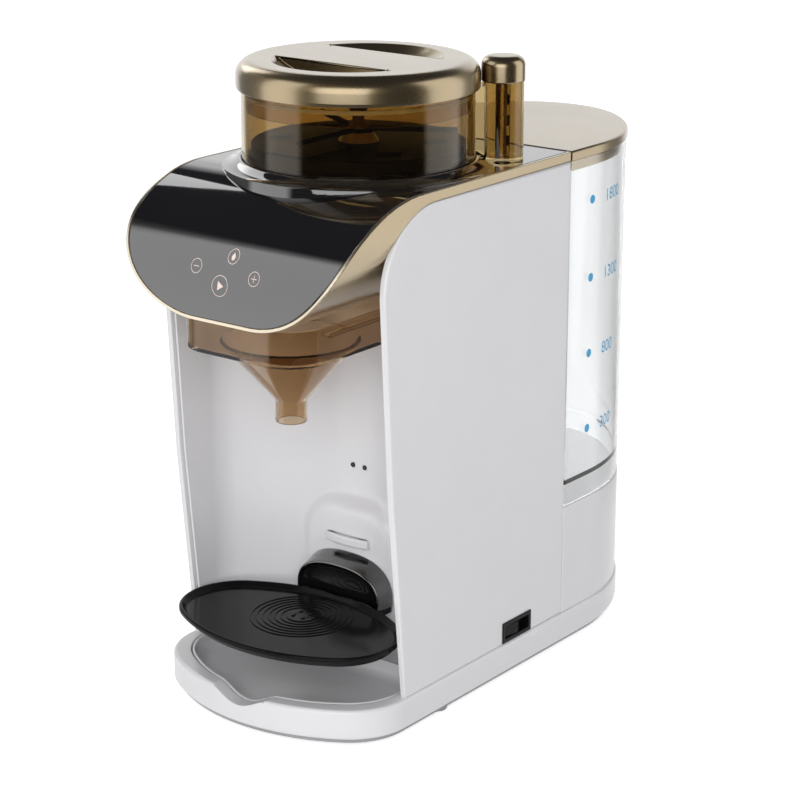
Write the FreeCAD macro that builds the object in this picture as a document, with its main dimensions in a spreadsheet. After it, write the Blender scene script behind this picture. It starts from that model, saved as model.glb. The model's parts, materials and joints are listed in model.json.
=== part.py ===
import FreeCAD, Part
import math
import os
import Sketcher

# Baby formula maker, millimetres, +Z up.  Every outline is drawn about the spout's
# vertical axis; "set_back" then moves each piece so that the origin is the middle
# of the footprint, on the surface that the feet stand on.

doc = FreeCAD.newDocument("FormulaMaker")
sheet = doc.addObject("Spreadsheet::Sheet", "Sizes")

SIZES = [
    # outer body
    ("body_width", 164.0), ("panel_wall", 4.0), ("seam_gap", 0.3), ("panel_height", 287.5),
    ("panel_foot_front", -1.4), ("panel_top_front", 17.4), ("panel_corner", 47.0),
    ("panel_bow", 2900.0), ("seam_back", 162.0), ("strip_height", 6.0),
    # base
    ("base_lip", 1.0), ("base_front", 53.0), ("base_height", 18.5), ("base_wall", 3.0),
    ("base_bow", 120.0), ("base_corner", 40.0), ("foot_height", 5.0), ("foot_radius", 7.0),
    ("foot_side", 73.0), ("foot_middle_back", 43.0), ("foot_end_side", 44.0),
    ("foot_front", 24.0), ("foot_end_back", 255.0), ("foot_draft", 0.8), ("plate_wall", 2.5),
    ("cover_screw", 2.2), ("cover_screw_length", 6.0), ("screw_head", 1.4), ("screw_step", 14.0),
    ("notch_width", 40.0), ("notch_depth", 7.0), ("slot_length", 46.0), ("slot_width", 3.0),
    ("slot_step", 8.0), ("slot_front", 60.0),
    # rear oval shared by base, housing, tank and tank lid
    ("rear_reach", 293.0), ("rear_straight", 29.0), ("rear_radius", 60.0),
    # head
    ("head_reach", 59.2), ("head_drop", 71.0), ("head_corner", 62.0), ("crown_start", 18.0),
    ("crown_radius", 94.0), ("brow_radius", 54.5), ("brow_angle", 35.0), ("band_wall", 2.2),
    ("fascia_wall", 2.6), ("fascia_gap", 0.15), ("touch_length", 62.0), ("touch_height", 26.0),
    ("touch_inset", 16.0), ("touch_level", 13.0), ("post_radius", 2.0), ("post_inset", 4.0),
    # bay
    ("liner_radius", 95.0), ("liner_back", 62.0), ("liner_wall", 2.5), ("cheek_wall", 1.5),
    ("cheek_corner", 24.0), ("cheek_inset", 2.5), ("boss_width", 72.0), ("boss_corner", 22.0),
    ("boss_height", 86.0), ("boss_front", 52.0), ("hook_width", 32.0), ("hook_reach", 5.0),
    ("hook_height", 5.5), ("hook_level", 84.5), ("eye_spacing", 9.0), ("eye_radius", 1.5),
    ("eye_level", 131.0), ("eye_gap", 0.05), ("eye_length", 5.0), ("eye_board_width", 30.0),
    ("eye_board_height", 20.0), ("lower_hook_rise", 12.0),
    # bottle table
    ("table_length", 150.0), ("table_depth", 94.0), ("table_centre", 5.0), ("table_end", 36.0),
    ("table_level", 48.0), ("table_wall", 4.0), ("table_rim", 2.6), ("rim_height", 3.0),
    ("ring_radius", 31.0), ("ring_step", 5.5), ("ring_height", 0.6), ("ring_wall", 1.2),
    ("ring_back", 12.0), ("ring_count", 4), ("hub_radius", 9.5), ("hub_screw", 1.6),
    ("hub_screw_side", 4.5), ("bracket_width", 67.0), ("bracket_height", 24.5),
    ("bracket_wall", 2.6), ("bracket_depth", 11.5), ("bracket_front", 40.0),
    ("bracket_crown", 66.0), ("bracket_corner", 14.0), ("bracket_dish", 3.2),
    ("bracket_face", 2.0),
    # drip tray
    ("tray_width", 148.0), ("tray_front", 44.0), ("tray_back", 38.0), ("tray_bow", 100.0),
    ("tray_corner", 37.0), ("tray_back_corner", 22.0), ("tray_depth", 12.5), ("tray_wall", 1.8),
    ("tray_gap", 0.5),
    # funnel
    ("funnel_width", 94.0), ("funnel_front", 50.0), ("funnel_back", 47.0),
    ("funnel_corner", 24.0), ("funnel_height", 21.0), ("funnel_wall", 1.8), ("funnel_gap", 0.8),
    ("cone_radius", 40.0), ("cone_height", 35.0), ("spout_radius", 9.25), ("spout_length", 13.0),
    ("ear_width", 4.0), ("ear_wall", 2.0), ("ear_drop", 5.0), ("rail_wall", 2.2),
    ("rail_height", 26.0), ("rail_start", 26.0), ("rail_length", 18.0), ("rail_gap", 0.9),
    ("nozzle_radius", 3.2), ("nozzle_bore", 1.8), ("nozzle_length", 18.0),
    ("nozzle_front", 18.0),
    # powder container
    ("jar_back", 63.4), ("jar_side", 14.5), ("jar_wall", 2.2), ("jar_height", 43.5),
    ("jar_gap", 0.4), ("floor_wall", 4.6), ("outlet_radius", 9.5), ("outlet_inset", 22.5),
    ("collar_inset", 3.0), ("collar_height", 4.0), ("collar_wall", 2.0), ("collar_skirt", 9.0),
    ("tower_radius", 12.3), ("tower_wall", 1.8), ("tower_angle", 42.8), ("tower_gap", 0.5),
    ("tower_rise", 2.0), ("neck_width", 14.0), ("post_bar", 4.4), ("post_slot", 3.0),
    ("post_slot_height", 6.0), ("post_slot_step", 12.0),
    # wheel and stirrer
    ("wheel_inset", 5.5), ("wheel_wall", 7.5), ("pocket_radius", 8.0), ("pocket_count", 6),
    ("shaft_radius", 4.0), ("run_gap", 0.05), ("cone_foot", 12.0), ("cone_waist", 3.2),
    ("cone_rise", 13.0), ("blade_wall", 2.4), ("blade_height", 3.0), ("blade_count", 3),
    ("blade_start", 30.0), ("scraper_wall", 1.6), ("scraper_height", 5.0), ("dog_width", 4.0),
    ("dog_height", 3.0),
    # container lid
    ("lid_overhang", 2.8), ("lid_height", 16.4), ("lid_wall", 2.4), ("lid_edge", 9.0),
    ("plug_height", 12.0), ("plug_wall", 2.2), ("plug_gap", 0.5), ("grip_width", 49.0),
    ("pocket_reach", 44.8), ("pocket_shift", 7.2), ("pocket_depth", 14.0), ("seal_radius", 1.2),
    ("seal_drop", 4.8), ("cap_radius", 12.8), ("cap_height", 14.5), ("cap_edge", 5.0),
    ("lid_crown", 1.0), ("lid_draft", 1.5), ("lid_bevel", 0.6),
    # tank
    ("tank_inset", 0.4), ("tank_lid_proud", 0.4), ("tank_wall", 2.4), ("tank_foot", 13.0),
    ("tank_floor", 3.0), ("seat_height", 70.0), ("seat_wall", 3.0), ("tank_gap", 0.4),
    ("tank_lid_wall", 6.0), ("tank_plug_height", 7.0), ("tank_plug_gap", 0.6),
    ("valve_back", 215.0), ("valve_radius", 9.0), ("valve_wall", 2.0), ("valve_stem", 2.5),
    ("valve_length", 12.0), ("valve_disc", 6.4), ("seal_wall", 1.5), ("spring_wall", 1.2),
    ("neck_drop", 6.0), ("socket_depth", 14.0), ("socket_wall", 2.0), ("socket_tail", 8.0),
    ("pin_radius", 1.6), ("pin_height", 6.4), ("inlet_width", 20.0), ("inlet_height", 13.0),
    ("inlet_depth", 16.0), ("inlet_rise", 12.0),
    # drives and inside
    ("motor_radius", 18.0), ("motor_height", 40.0), ("motor_drop", 8.0), ("flange_height", 3.0),
    ("flange_inset", 4.0), ("arm_width", 96.0), ("arm_depth", 30.0), ("arm_wall", 2.0),
    ("arm_screw_side", 42.0), ("arm_post", 3.5), ("arm_screw", 2.45), ("chute_radius", 11.5),
    ("chute_wall", 1.5), ("switch_length", 30.0), ("switch_height", 13.3),
    ("switch_start", 97.3), ("switch_level", 24.3), ("switch_rim", 1.6), ("switch_proud", 0.7),
    ("switch_depth", 15.0), ("switch_wall", 1.0), ("rocker_gap", 0.4), ("rocker_end", 1.5),
    ("rocker_low", 3.5), ("rocker_high", 3.2), ("rocker_peak", 6.2), ("rocker_axle", 1.2),
    ("rocker_sink", 5.5), ("rocker_tilt", 9.0), ("spine_wall", 2.5), ("shelf_rise", 66.0),
    ("shelf_width", 110.0), ("shelf_gap", 14.0), ("rib_depth", 40.0), ("rib_height", 20.0),
    ("rib_side", 50.0), ("pump_side", 34.0), ("pump_inset", 40.0), ("pump_radius", 14.0),
    ("pump_height", 34.0), ("pump_head", 16.5), ("pump_head_height", 10.0),
    ("heater_side", 18.0), ("heater_inset", 36.0), ("heater_radius", 22.0),
    ("heater_height", 62.0), ("heater_neck", 12.0), ("heater_dome", 8.0),
    ("thermostat_radius", 8.0), ("thermostat_wall", 7.0), ("thermostat_rise", 30.0),
    ("hose_radius", 3.5), ("hose_bore", 2.2), ("hose_bend", 14.0), ("hose_rise", 20.0),
    ("hose_room", 1.0), ("hose_gap", 0.2), ("spout_hose_rise", 34.0), ("spout_hose_side", 46.0),
    ("board_wall", 1.6), ("main_board_width", 90.0), ("main_board_height", 56.0),
    ("main_board_rise", 154.0), ("peg_radius", 2.5), ("peg_length", 8.0), ("peg_inset", 6.0),
    ("chip_width", 12.0), ("chip_height", 4.0), ("chip_step", 20.0), ("chip_count", 4),
    ("power_board_length", 52.0), ("power_board_height", 44.0), ("power_board_inset", 14.0),
    ("coil_width", 18.0), ("coil_wall", 12.0),
]


class Size:
    """A length that knows both its number and the expression that gives it."""

    def __init__(self, text, value):
        self.text = text
        self.value = value

    def join(self, other, sign, value):
        return Size("(%s %s %s)" % (self.text, sign, text_of(other)), value)

    def __add__(self, other):
        return self.join(other, "+", self.value + value_of(other))

    def __sub__(self, other):
        return self.join(other, "-", self.value - value_of(other))

    def __mul__(self, other):
        return self.join(other, "*", self.value * value_of(other))

    def __truediv__(self, other):
        return self.join(other, "/", self.value / value_of(other))

    def __radd__(self, other):
        return Size(text_of(other), other) + self

    def __rsub__(self, other):
        return Size(text_of(other), other) - self

    def __rmul__(self, other):
        return Size(text_of(other), other) * self

    def __neg__(self):
        return Size("(0 - %s)" % self.text, -self.value)


def text_of(length):
    return length.text if isinstance(length, Size) else repr(length)


def value_of(length):
    return length.value if isinstance(length, Size) else length


def root(length):
    return Size("sqrt(%s)" % length.text, math.sqrt(length.value))


def sine(degrees):
    return Size("sin(%s * 1 deg)" % degrees.text, math.sin(math.radians(degrees.value)))


def cosine(degrees):
    return Size("cos(%s * 1 deg)" % degrees.text, math.cos(math.radians(degrees.value)))


class Named:
    """Gives each cell of the sheet as a Size, by its alias."""


size = Named()
for row, (alias, number) in enumerate(SIZES, start=1):
    sheet.set("A%d" % row, alias)
    sheet.set("B%d" % row, str(number))
    sheet.setAlias("B%d" % row, alias)
    setattr(size, alias, Size("Sizes.%s" % alias, number))
doc.recompute()

pieces = []

# Levels and lines that several pieces share.
set_back = (size.head_reach - size.rear_reach - size.base_lip) / 2
base_top = size.foot_height + size.base_height
panel_top = base_top + size.panel_height
deck_top = panel_top + size.strip_height
head_floor = deck_top - size.head_drop
inner_half = size.body_width / 2 - size.panel_wall
half_width = size.body_width / 2
jar_radius = half_width - size.jar_side
outlet_circle = jar_radius - size.outlet_inset
wheel_radius = jar_radius - size.wheel_inset
lid_radius = jar_radius + size.lid_overhang
rear_centre = size.rear_reach - size.rear_radius
rear_start = size.seam_back + size.rear_straight
pump_x = -size.pump_side
pump_y = size.seam_back - size.pump_inset
heater_y = size.seam_back - size.heater_inset
hose_level = base_top + size.hose_rise
chute_y = size.jar_back - outlet_circle
through = 1.0


# ------------------------------------------------------------------ drawing tools

def bind(thing, prop, length):
    """Set a property from a Size, or from a plain number."""
    if isinstance(length, Size):
        thing.setExpression(prop, length.text)
    else:
        thing.setExpression(prop, repr(length))


def place(thing, x, y, z):
    bind(thing, "Placement.Base.x", x)
    bind(thing, "Placement.Base.y", y + set_back)
    bind(thing, "Placement.Base.z", z)


def box(name, spans, corner):
    """A block from its low corner (x, y, z) with its three spans."""
    block = doc.addObject("Part::Box", name)
    for prop, span in zip(("Length", "Width", "Height"), spans):
        bind(block, prop, span)
    place(block, *corner)
    return block


TURNS = {
    "Z": FreeCAD.Rotation(),
    "X": FreeCAD.Rotation(FreeCAD.Vector(0, 1, 0), 90),
    "Y": FreeCAD.Rotation(FreeCAD.Vector(1, 0, 0), -90),
}


def rod(name, radius, length, start, axis="Z"):
    """A round bar from its start point along +X, +Y or +Z."""
    bar = doc.addObject("Part::Cylinder", name)
    bar.Placement = FreeCAD.Placement(FreeCAD.Vector(), TURNS[axis])
    bind(bar, "Radius", radius)
    bind(bar, "Height", length)
    place(bar, *start)
    return bar


def taper(name, low_radius, high_radius, length, start, axis="Z"):
    """A cone frustum from its start point."""
    body = doc.addObject("Part::Cone", name)
    body.Placement = FreeCAD.Placement(FreeCAD.Vector(), TURNS[axis])
    bind(body, "Radius1", low_radius)
    bind(body, "Radius2", high_radius)
    bind(body, "Height", length)
    place(body, *start)
    return body


def ball(name, radius, centre):
    sphere = doc.addObject("Part::Sphere", name)
    bind(sphere, "Radius", radius)
    place(sphere, *centre)
    return sphere


def fuse(name, *shapes):
    union = doc.addObject("Part::MultiFuse", name)
    union.Shapes = list(shapes)
    union.Refine = True
    return union


def cut(name, base, *tools):
    result = doc.addObject("Part::Cut", name)
    result.Base = base
    result.Tool = tools[0] if len(tools) == 1 else fuse(name + "_tools", *tools)
    return result


def common(name, first, second):
    result = doc.addObject("Part::Common", name)
    result.Base = first
    result.Tool = second
    return result


def tube(name, outer, inner, length, start, axis="Z"):
    return cut(name, rod(name + "_outer", outer, length, start, axis),
               rod(name + "_bore", inner, length, start, axis))


def group(name, shapes):
    """Several separate solids that are one node."""
    several = doc.addObject("Part::Compound", name)
    several.Links = list(shapes)
    return several


def origin_plane(body, role):
    for feature in body.Origin.OriginFeatures:
        if feature.Role == role:
            return feature
    raise RuntimeError("no origin plane " + role)


def sketch_on(body, name, plane, level=0.0):
    drawing = body.newObject("Sketcher::SketchObject", name)
    drawing.AttachmentSupport = (origin_plane(body, plane), [""])
    drawing.MapMode = "FlatFace"
    bind(drawing, "AttachmentOffset.Base.z", level)
    return drawing


def pin_point(drawing, edge, end, point):
    """Hold one end of an edge at its two coordinates."""
    for kind, axis, length in (("DistanceX", -2, point[0]), ("DistanceY", -1, point[1])):
        if isinstance(length, Size):
            index = drawing.addConstraint(
                Sketcher.Constraint(kind, -1, 1, edge, end, length.value))
            drawing.setExpression("Constraints[%d]" % index, length.text)
        elif length == 0:
            drawing.addConstraint(Sketcher.Constraint("PointOnObject", edge, end, axis))
        else:
            drawing.addConstraint(Sketcher.Constraint(kind, -1, 1, edge, end, length))


def draw(drawing, points, bends=None):
    """Close an outline through points.  bends gives, by the number of its first point,
    the radius of an arc that bulges to the right of the way from point to point;
    a negative radius bulges to the left."""
    bends = bends or {}
    flat = [FreeCAD.Vector(value_of(x), value_of(y), 0) for x, y in points]
    count = len(points)
    for index in range(count):
        start, end = flat[index], flat[(index + 1) % count]
        if index not in bends:
            drawing.addGeometry(Part.LineSegment(start, end), False)
            continue
        radius = abs(bends[index].value)
        side = 1.0 if bends[index].value > 0 else -1.0
        chord = end - start
        right = FreeCAD.Vector(chord.y, -chord.x, 0).normalize() * side
        rise = radius - math.sqrt(max(radius ** 2 - (chord.Length / 2) ** 2, 0.0))
        if side < 0:
            start, end = end, start
        drawing.addGeometry(Part.Arc(start, (start + end) * 0.5 + right * rise, end), False)
    ends = []
    for index in range(count):
        edge = drawing.Geometry[index]
        forward = edge.StartPoint.distanceToPoint(flat[index]) < 1e-6
        ends.append((1, 2) if forward else (2, 1))
    for index in range(count):
        following = (index + 1) % count
        drawing.addConstraint(Sketcher.Constraint(
            "Coincident", index, ends[index][1], following, ends[following][0]))
        pin_point(drawing, index, ends[index][0], points[index])
        if index in bends:
            radius = bends[index] if bends[index].value > 0 else -bends[index]
            row = drawing.addConstraint(Sketcher.Constraint("Radius", index, radius.value))
            drawing.setExpression("Constraints[%d]" % row, radius.text)


def pad_from(name, plane, level, length, points, bends=None, backwards=False):
    """A body made of one padded outline.  XY pads rise, YZ pads run to +X and XZ pads
    run to +Y when backwards is set."""
    body = doc.addObject("PartDesign::Body", name)
    drawing = sketch_on(body, name + "_outline", plane, level)
    draw(drawing, points, bends)
    pad = body.newObject("PartDesign::Pad", name + "_pad")
    pad.Profile = drawing
    pad.Reversed = backwards
    bind(pad, "Length", length)
    body.Tip = pad
    bind(body, "Placement.Base.y", set_back)
    return body


def turned(name, centre, points, bends=None):
    """A body turned about a vertical axis at centre (x, y); points are (radius, z)."""
    body = doc.addObject("PartDesign::Body", name)
    drawing = sketch_on(body, name + "_section", "XZ_Plane")
    draw(drawing, points, bends)
    turn = body.newObject("PartDesign::Revolution", name + "_turn")
    turn.Profile = drawing
    turn.ReferenceAxis = (drawing, ["V_Axis"])
    turn.Angle = 360.0
    body.Tip = turn
    bind(body, "Placement.Base.x", centre[0])
    bind(body, "Placement.Base.y", centre[1] + set_back)
    return body


def keep(thing, name):
    """Name a finished sub-part."""
    thing.Label = name
    pieces.append(thing)
    return thing


# ------------------------------------------------------------------ shared outlines

def bowed_front(half, front, bow, corner):
    """Points of a front edge: a shallow bow between two rounded corners.
    Returns the right side point, the two tangent points and the left side point."""
    reach = bow - corner
    across = half - corner
    corner_back = bow - front - root(reach * reach - across * across)
    share = bow / reach
    tangent_x = across * share
    tangent_y = (bow - front) - (bow - front - corner_back) * share
    return [(-half, corner_back), (-tangent_x, tangent_y),
            (tangent_x, tangent_y), (half, corner_back)]


def rear_oval(inset, front):
    """The rear outline that the housing, the tank and its lid share, from a straight
    front line back round the oval.  Goes right side, rear, left side."""
    half = half_width - inset
    radius = size.rear_radius - inset
    run = rear_centre - rear_start
    side = (half * half + run * run - radius * radius) / (2 * (half - radius))
    share = side / (side - radius)
    tangent_x = half - side + (side - half) * share
    tangent_y = rear_start + run * share
    rear = rear_centre + radius
    points = [(-half, front), (half, front), (half, rear_start), (tangent_x, tangent_y),
              (0, rear), (-tangent_x, tangent_y), (-half, rear_start)]
    bends = {2: side, 3: radius, 4: radius, 5: side}
    return points, bends


def rear_prism(name, inset, front, level, length):
    points, bends = rear_oval(inset, front)
    return pad_from(name, "XY_Plane", level, length, points, bends)


def base_prism(name, inset, level, length):
    """The base's plan: the bowed front, straight sides and the rear oval."""
    half = half_width + size.base_lip - inset
    front = bowed_front(half, size.base_front - inset, size.base_bow - inset,
                        size.base_corner - inset)
    oval, oval_bends = rear_oval(inset - size.base_lip, 0.0)
    points = front + oval[2:]
    bends = {0: size.base_corner - inset, 1: size.base_bow - inset,
             2: size.base_corner - inset}
    for index, radius in oval_bends.items():
        bends[index + 2] = radius
    return pad_from(name, "XY_Plane", level, length, points, bends)


def tray_prism(name, inset, level, length):
    """The drip tray's plan: a bowed front and a straight back with round corners."""
    half = size.tray_width / 2 - inset
    corner = size.tray_corner - inset
    front = bowed_front(half, size.tray_front - inset, size.tray_bow - inset, corner)
    back = size.tray_back - inset
    turn = size.tray_back_corner - inset
    points = front + [(half, back - turn), (half - turn, back),
                      (turn - half, back), (-half, back - turn)]
    bends = {0: corner, 1: size.tray_bow - inset, 2: corner, 4: turn, 6: turn}
    return pad_from(name, "XY_Plane", level, length, points, bends)


def table_prism(name, inset, level, length):
    """The bottle table's plan: a four-arc oval, long from side to side."""
    half = size.table_length / 2 - inset
    deep = size.table_depth / 2 - inset
    end = size.table_end - inset
    side = ((half - end) * (half - end) + deep * deep - end * end) / (2 * (deep - end))
    share = side / (side - end)
    tangent_x = (half - end) * share
    tangent_y = (side - deep) * share - (side - deep)
    middle = -size.table_centre
    points = [(-tangent_x, middle - tangent_y), (tangent_x, middle - tangent_y),
              (half, middle), (tangent_x, middle + tangent_y),
              (-tangent_x, middle + tangent_y), (-half, middle)]
    bends = {0: side, 1: end, 2: end, 3: side, 4: end, 5: end}
    return pad_from(name, "XY_Plane", level, length, points, bends)


def panel_outline(margin):
    """Side panel seen from the side, as (y, z): a leaning front edge with a slight bow,
    a round upper corner and a straight rear edge."""
    low = base_top - margin
    corner = size.panel_corner + margin
    lean_top = panel_top - size.panel_corner
    points = [(size.seam_back, low), (size.seam_back, panel_top + margin),
              (size.panel_corner - size.panel_top_front, panel_top + margin),
              (-size.panel_top_front - margin, lean_top),
              (-size.panel_foot_front - margin, low)]
    return points, {2: corner, 3: size.panel_bow}


def head_section(inset, lift=0.0):
    """Head seen from the front, as (x, z): straight sides and round lower corners."""
    half = half_width - inset
    corner = size.head_corner - inset
    low = head_floor + inset
    top = deck_top + lift
    return [(half, top), (-half, top), (-half, low + corner), (corner - half, low),
            (half - corner, low), (half, low + corner)], {2: corner, 4: corner}


def head_profile(inset):
    """Head seen from the side, as (y, z): the deck falls forward in two arcs."""
    turn = sine(size.brow_angle)
    level = cosine(size.brow_angle)
    crown = size.crown_radius - inset
    brow = size.brow_radius - inset
    crown_centre = deck_top - size.crown_radius
    knee_y = -size.head_reach + size.brow_radius - brow * turn
    knee_z = crown_centre + crown * level
    crown_y = -size.head_reach + size.brow_radius + (size.crown_radius - size.brow_radius) * turn
    brow_z = knee_z - brow * level
    front = -size.head_reach + inset
    low = head_floor - 10 * through
    back = size.seam_back + 10 * through
    points = [(back, low), (back, deck_top - inset),
              (crown_y, deck_top - inset), (knee_y, knee_z), (front, brow_z), (front, low)]
    return points, {2: crown, 3: brow}


def along_head(name, inset, lift, front, back):
    points, bends = head_section(inset, lift)
    return pad_from(name, "XZ_Plane", -front, back - front, points, bends, backwards=True)


def across_head(name, inset, half):
    points, bends = head_profile(inset)
    return pad_from(name, "YZ_Plane", -half, half * 2, points, bends)


def head_solid(name, inset, lift=0.0):
    """The head's whole outer shape, from its front face back to the seam."""
    section = along_head(name + "_along", inset, lift, -size.head_reach - through,
                         size.seam_back - size.seam_gap)
    return common(name, section, across_head(name + "_across", 0.0, half_width + through))


# ------------------------------------------------------------------ base

def finger_notch(name):
    """The round scoop that base and tray share at the front."""
    radius = (size.notch_width * size.notch_width / 4
              + size.notch_depth * size.notch_depth) / (2 * size.notch_depth)
    return rod(name, radius, size.base_front,
               (0.0, -size.base_front * 1.5, base_top + radius - size.notch_depth), "Y")


def build_base():
    """Base shell with the tray's well, the finger notch and open underside."""
    shell = base_prism("base_plan", 0.0, size.foot_height, size.base_height)
    hollow = base_prism("base_hollow", size.base_wall, size.foot_height,
                        size.base_height - size.base_wall)
    cup = tray_prism("tray_cup", -size.tray_gap - size.base_wall,
                     base_top - size.tray_depth - size.base_wall, size.tray_depth)
    well = tray_prism("tray_well", -size.tray_gap, base_top - size.tray_depth - size.tray_gap,
                      size.tray_depth + size.base_wall)
    hull = cut("base_hull", shell, hollow)
    keep(cut("base_shell_cut", fuse("base_with_cup", hull, cup), well,
             finger_notch("base_notch")), "base_shell")


def build_bottom():
    """Bottom plate with air slots, its screws and the rubber feet."""
    level = size.foot_height - size.plate_wall
    plate = base_prism("bottom_plan", size.base_wall, level, size.plate_wall)
    slots = [box("air_slot_%d" % i, (size.slot_length, size.slot_width, size.plate_wall * 3),
                 (-size.slot_length / 2, size.seam_back - size.slot_front + size.slot_step * i,
                  level - size.plate_wall))
             for i in range(6)]
    spots = [(side * reach, back) for side in (-1, 1) for reach, back in
             ((size.foot_end_side, -size.foot_front), (size.foot_side, size.foot_middle_back),
              (size.foot_end_side, size.foot_end_back))]
    holes = []
    screws = []
    feet = []
    for number, (x, y) in enumerate(spots):
        inward = x * 0.8
        behind = y + size.screw_step
        holes.append(rod("cover_hole_%d" % number, size.cover_screw / 2 + size.hose_gap,
                         size.plate_wall * 3, (inward, behind, level - size.plate_wall)))
        spot = (inward, behind, level - size.screw_head)
        head = rod("cover_head_%d" % number, size.cover_screw, size.screw_head, spot)
        shank = rod("cover_shank_%d" % number, size.cover_screw / 2, size.cover_screw_length, spot)
        screws.append(fuse("cover_screw_%d" % number, head, shank))
        feet.append(taper("foot_%d" % number, size.foot_radius - size.foot_draft,
                          size.foot_radius, size.foot_height - size.plate_wall, (x, y, 0.0)))
    keep(cut("bottom_plate_cut", plate, *(slots + holes)), "bottom_plate")
    keep(group("cover_screw_group", screws), "cover_screws")
    keep(group("feet_group", feet), "rubber_feet")


# ------------------------------------------------------------------ side panels

def switch_block(name, margin, start, length):
    return box(name, (length, size.switch_length - 2 * margin, size.switch_height - 2 * margin),
               (start, size.switch_start + margin, size.switch_level + margin))


def build_panels():
    points, bends = panel_outline(0.0)
    keep(pad_from("left_panel_body", "YZ_Plane", -half_width, size.panel_wall, points, bends),
         "left_side_panel")
    right = pad_from("right_panel_body", "YZ_Plane", inner_half, size.panel_wall, points, bends)
    keep(cut("right_panel_cut", right, switch_block("switch_hole", size.switch_rim,
                                                    inner_half - through,
                                                    size.panel_wall + 2 * through)),
         "right_side_panel")


def build_switch():
    """Rocker switch set in the right panel, drawn with its front half raised."""
    deep = size.switch_depth
    frame = switch_block("bezel_lip", 0.0, half_width, size.switch_proud)
    barrel = switch_block("bezel_barrel", size.switch_rim, half_width - deep,
                          deep + size.switch_proud)
    room_margin = size.switch_rim + size.switch_wall
    room = switch_block("bezel_room", room_margin, half_width - deep + size.switch_wall, deep * 2)
    axle_x = half_width - size.rocker_sink
    axle_y = size.switch_start + size.switch_length / 2
    axle_low = size.switch_level + size.switch_rim
    axle_length = size.switch_height - 2 * size.switch_rim
    bearing = rod("bezel_bearing", size.rocker_axle + size.run_gap, axle_length + 2 * through,
                  (axle_x, axle_y, axle_low - through))
    keep(cut("switch_bezel_cut", fuse("bezel_whole", frame, barrel), room, bearing),
         "switch_bezel")
    half_long = size.switch_length / 2 - size.switch_rim - size.rocker_end
    body = doc.addObject("PartDesign::Body", "rocker_body")
    drawing = sketch_on(body, "rocker_outline", "XY_Plane")
    slope = size.rocker_low - size.rocker_gap
    draw(drawing, [(-size.rocker_low, slope - half_long), (size.rocker_high, -half_long),
                   (size.rocker_peak, 0.0), (size.rocker_high, half_long),
                   (-size.rocker_low, half_long - slope)])
    pad = body.newObject("PartDesign::Pad", "rocker_pad")
    pad.Profile = drawing
    bind(pad, "Length", size.switch_height - 2 * (room_margin + size.rocker_gap))
    body.Tip = pad
    body.Placement = FreeCAD.Placement(FreeCAD.Vector(), FreeCAD.Rotation(
        FreeCAD.Vector(0, 0, 1), size.rocker_tilt.value))
    bind(body, "Placement.Rotation.Angle", size.rocker_tilt)
    place(body, axle_x, axle_y, size.switch_level + room_margin + size.rocker_gap)
    axle = rod("rocker_axle_pin", size.rocker_axle, axle_length - size.rocker_gap * 2,
               (axle_x, axle_y, axle_low + size.rocker_gap))
    keep(fuse("rocker_with_axle", body, axle), "switch_rocker")


# ------------------------------------------------------------------ head

def build_head():
    """Gold band round the head, with its ledges under the deck and its back wall."""
    outer = head_solid("head_outer", 0.0)
    ledge_back = size.seam_back - size.seam_gap
    room = along_head("head_room", size.band_wall, 5 * through, -size.head_reach - through,
                      ledge_back - size.band_wall)
    deck_room = box("head_deck_room", (2 * (half_width - size.band_wall), size.seam_back,
                                       size.fascia_wall + through),
                    (size.band_wall - half_width, through, deck_top - size.fascia_wall))
    side_points, side_bends = panel_outline(size.seam_gap)
    inner_face = inner_half - size.seam_gap
    side_cuts = [pad_from("panel_room_%d" % sign, "YZ_Plane", start,
                          size.panel_wall + size.seam_gap + through, side_points, side_bends)
                 for sign, start in ((-1, -half_width - through), (1, inner_face))]
    ledge_low = panel_top + size.seam_gap
    ledge_start = inner_face - size.band_wall
    ledge_width = half_width - ledge_start - size.seam_gap
    strips = []
    for sign in (-1, 1):
        strips.append(box("band_ledge_%d" % sign, (
            ledge_width, ledge_back, deck_top - size.fascia_wall - ledge_low),
            (ledge_start if sign > 0 else -ledge_start - ledge_width, 0.0, ledge_low)))
        strips.append(box("band_wall_%d" % sign, (
            size.band_wall, ledge_back - size.panel_corner, size.head_corner / 2),
            (ledge_start if sign > 0 else -inner_face, size.panel_corner,
             ledge_low - size.head_corner / 2 + through)))
    hole_low = head_floor - through
    hole_depth = size.band_wall * 3
    hose_hole = rod("band_hose_hole", size.hose_radius + size.hose_room, hole_depth,
                    (size.heater_side, heater_y, hole_low))
    powder_hole = rod("band_powder_hole", size.chute_radius + size.hose_gap, hole_depth,
                      (0.0, chute_y, hole_low))
    water_hole = rod("band_water_hole", size.nozzle_radius + size.hose_gap, hole_depth,
                     (0.0, -size.nozzle_front, hole_low))
    skin = head_solid("fascia_room", size.band_wall, 5 * through)
    skin_inside = across_head("fascia_room_inside", size.fascia_wall, half_width + through)
    fascia_room = cut("fascia_room_cut", skin, skin_inside)
    band = fuse("band_whole", cut("band_shell", outer, room, deck_room, *side_cuts), *strips)
    keep(cut("head_band_cut", band, powder_hole, water_hole, hose_hole, fascia_room),
         "head_band")


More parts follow.
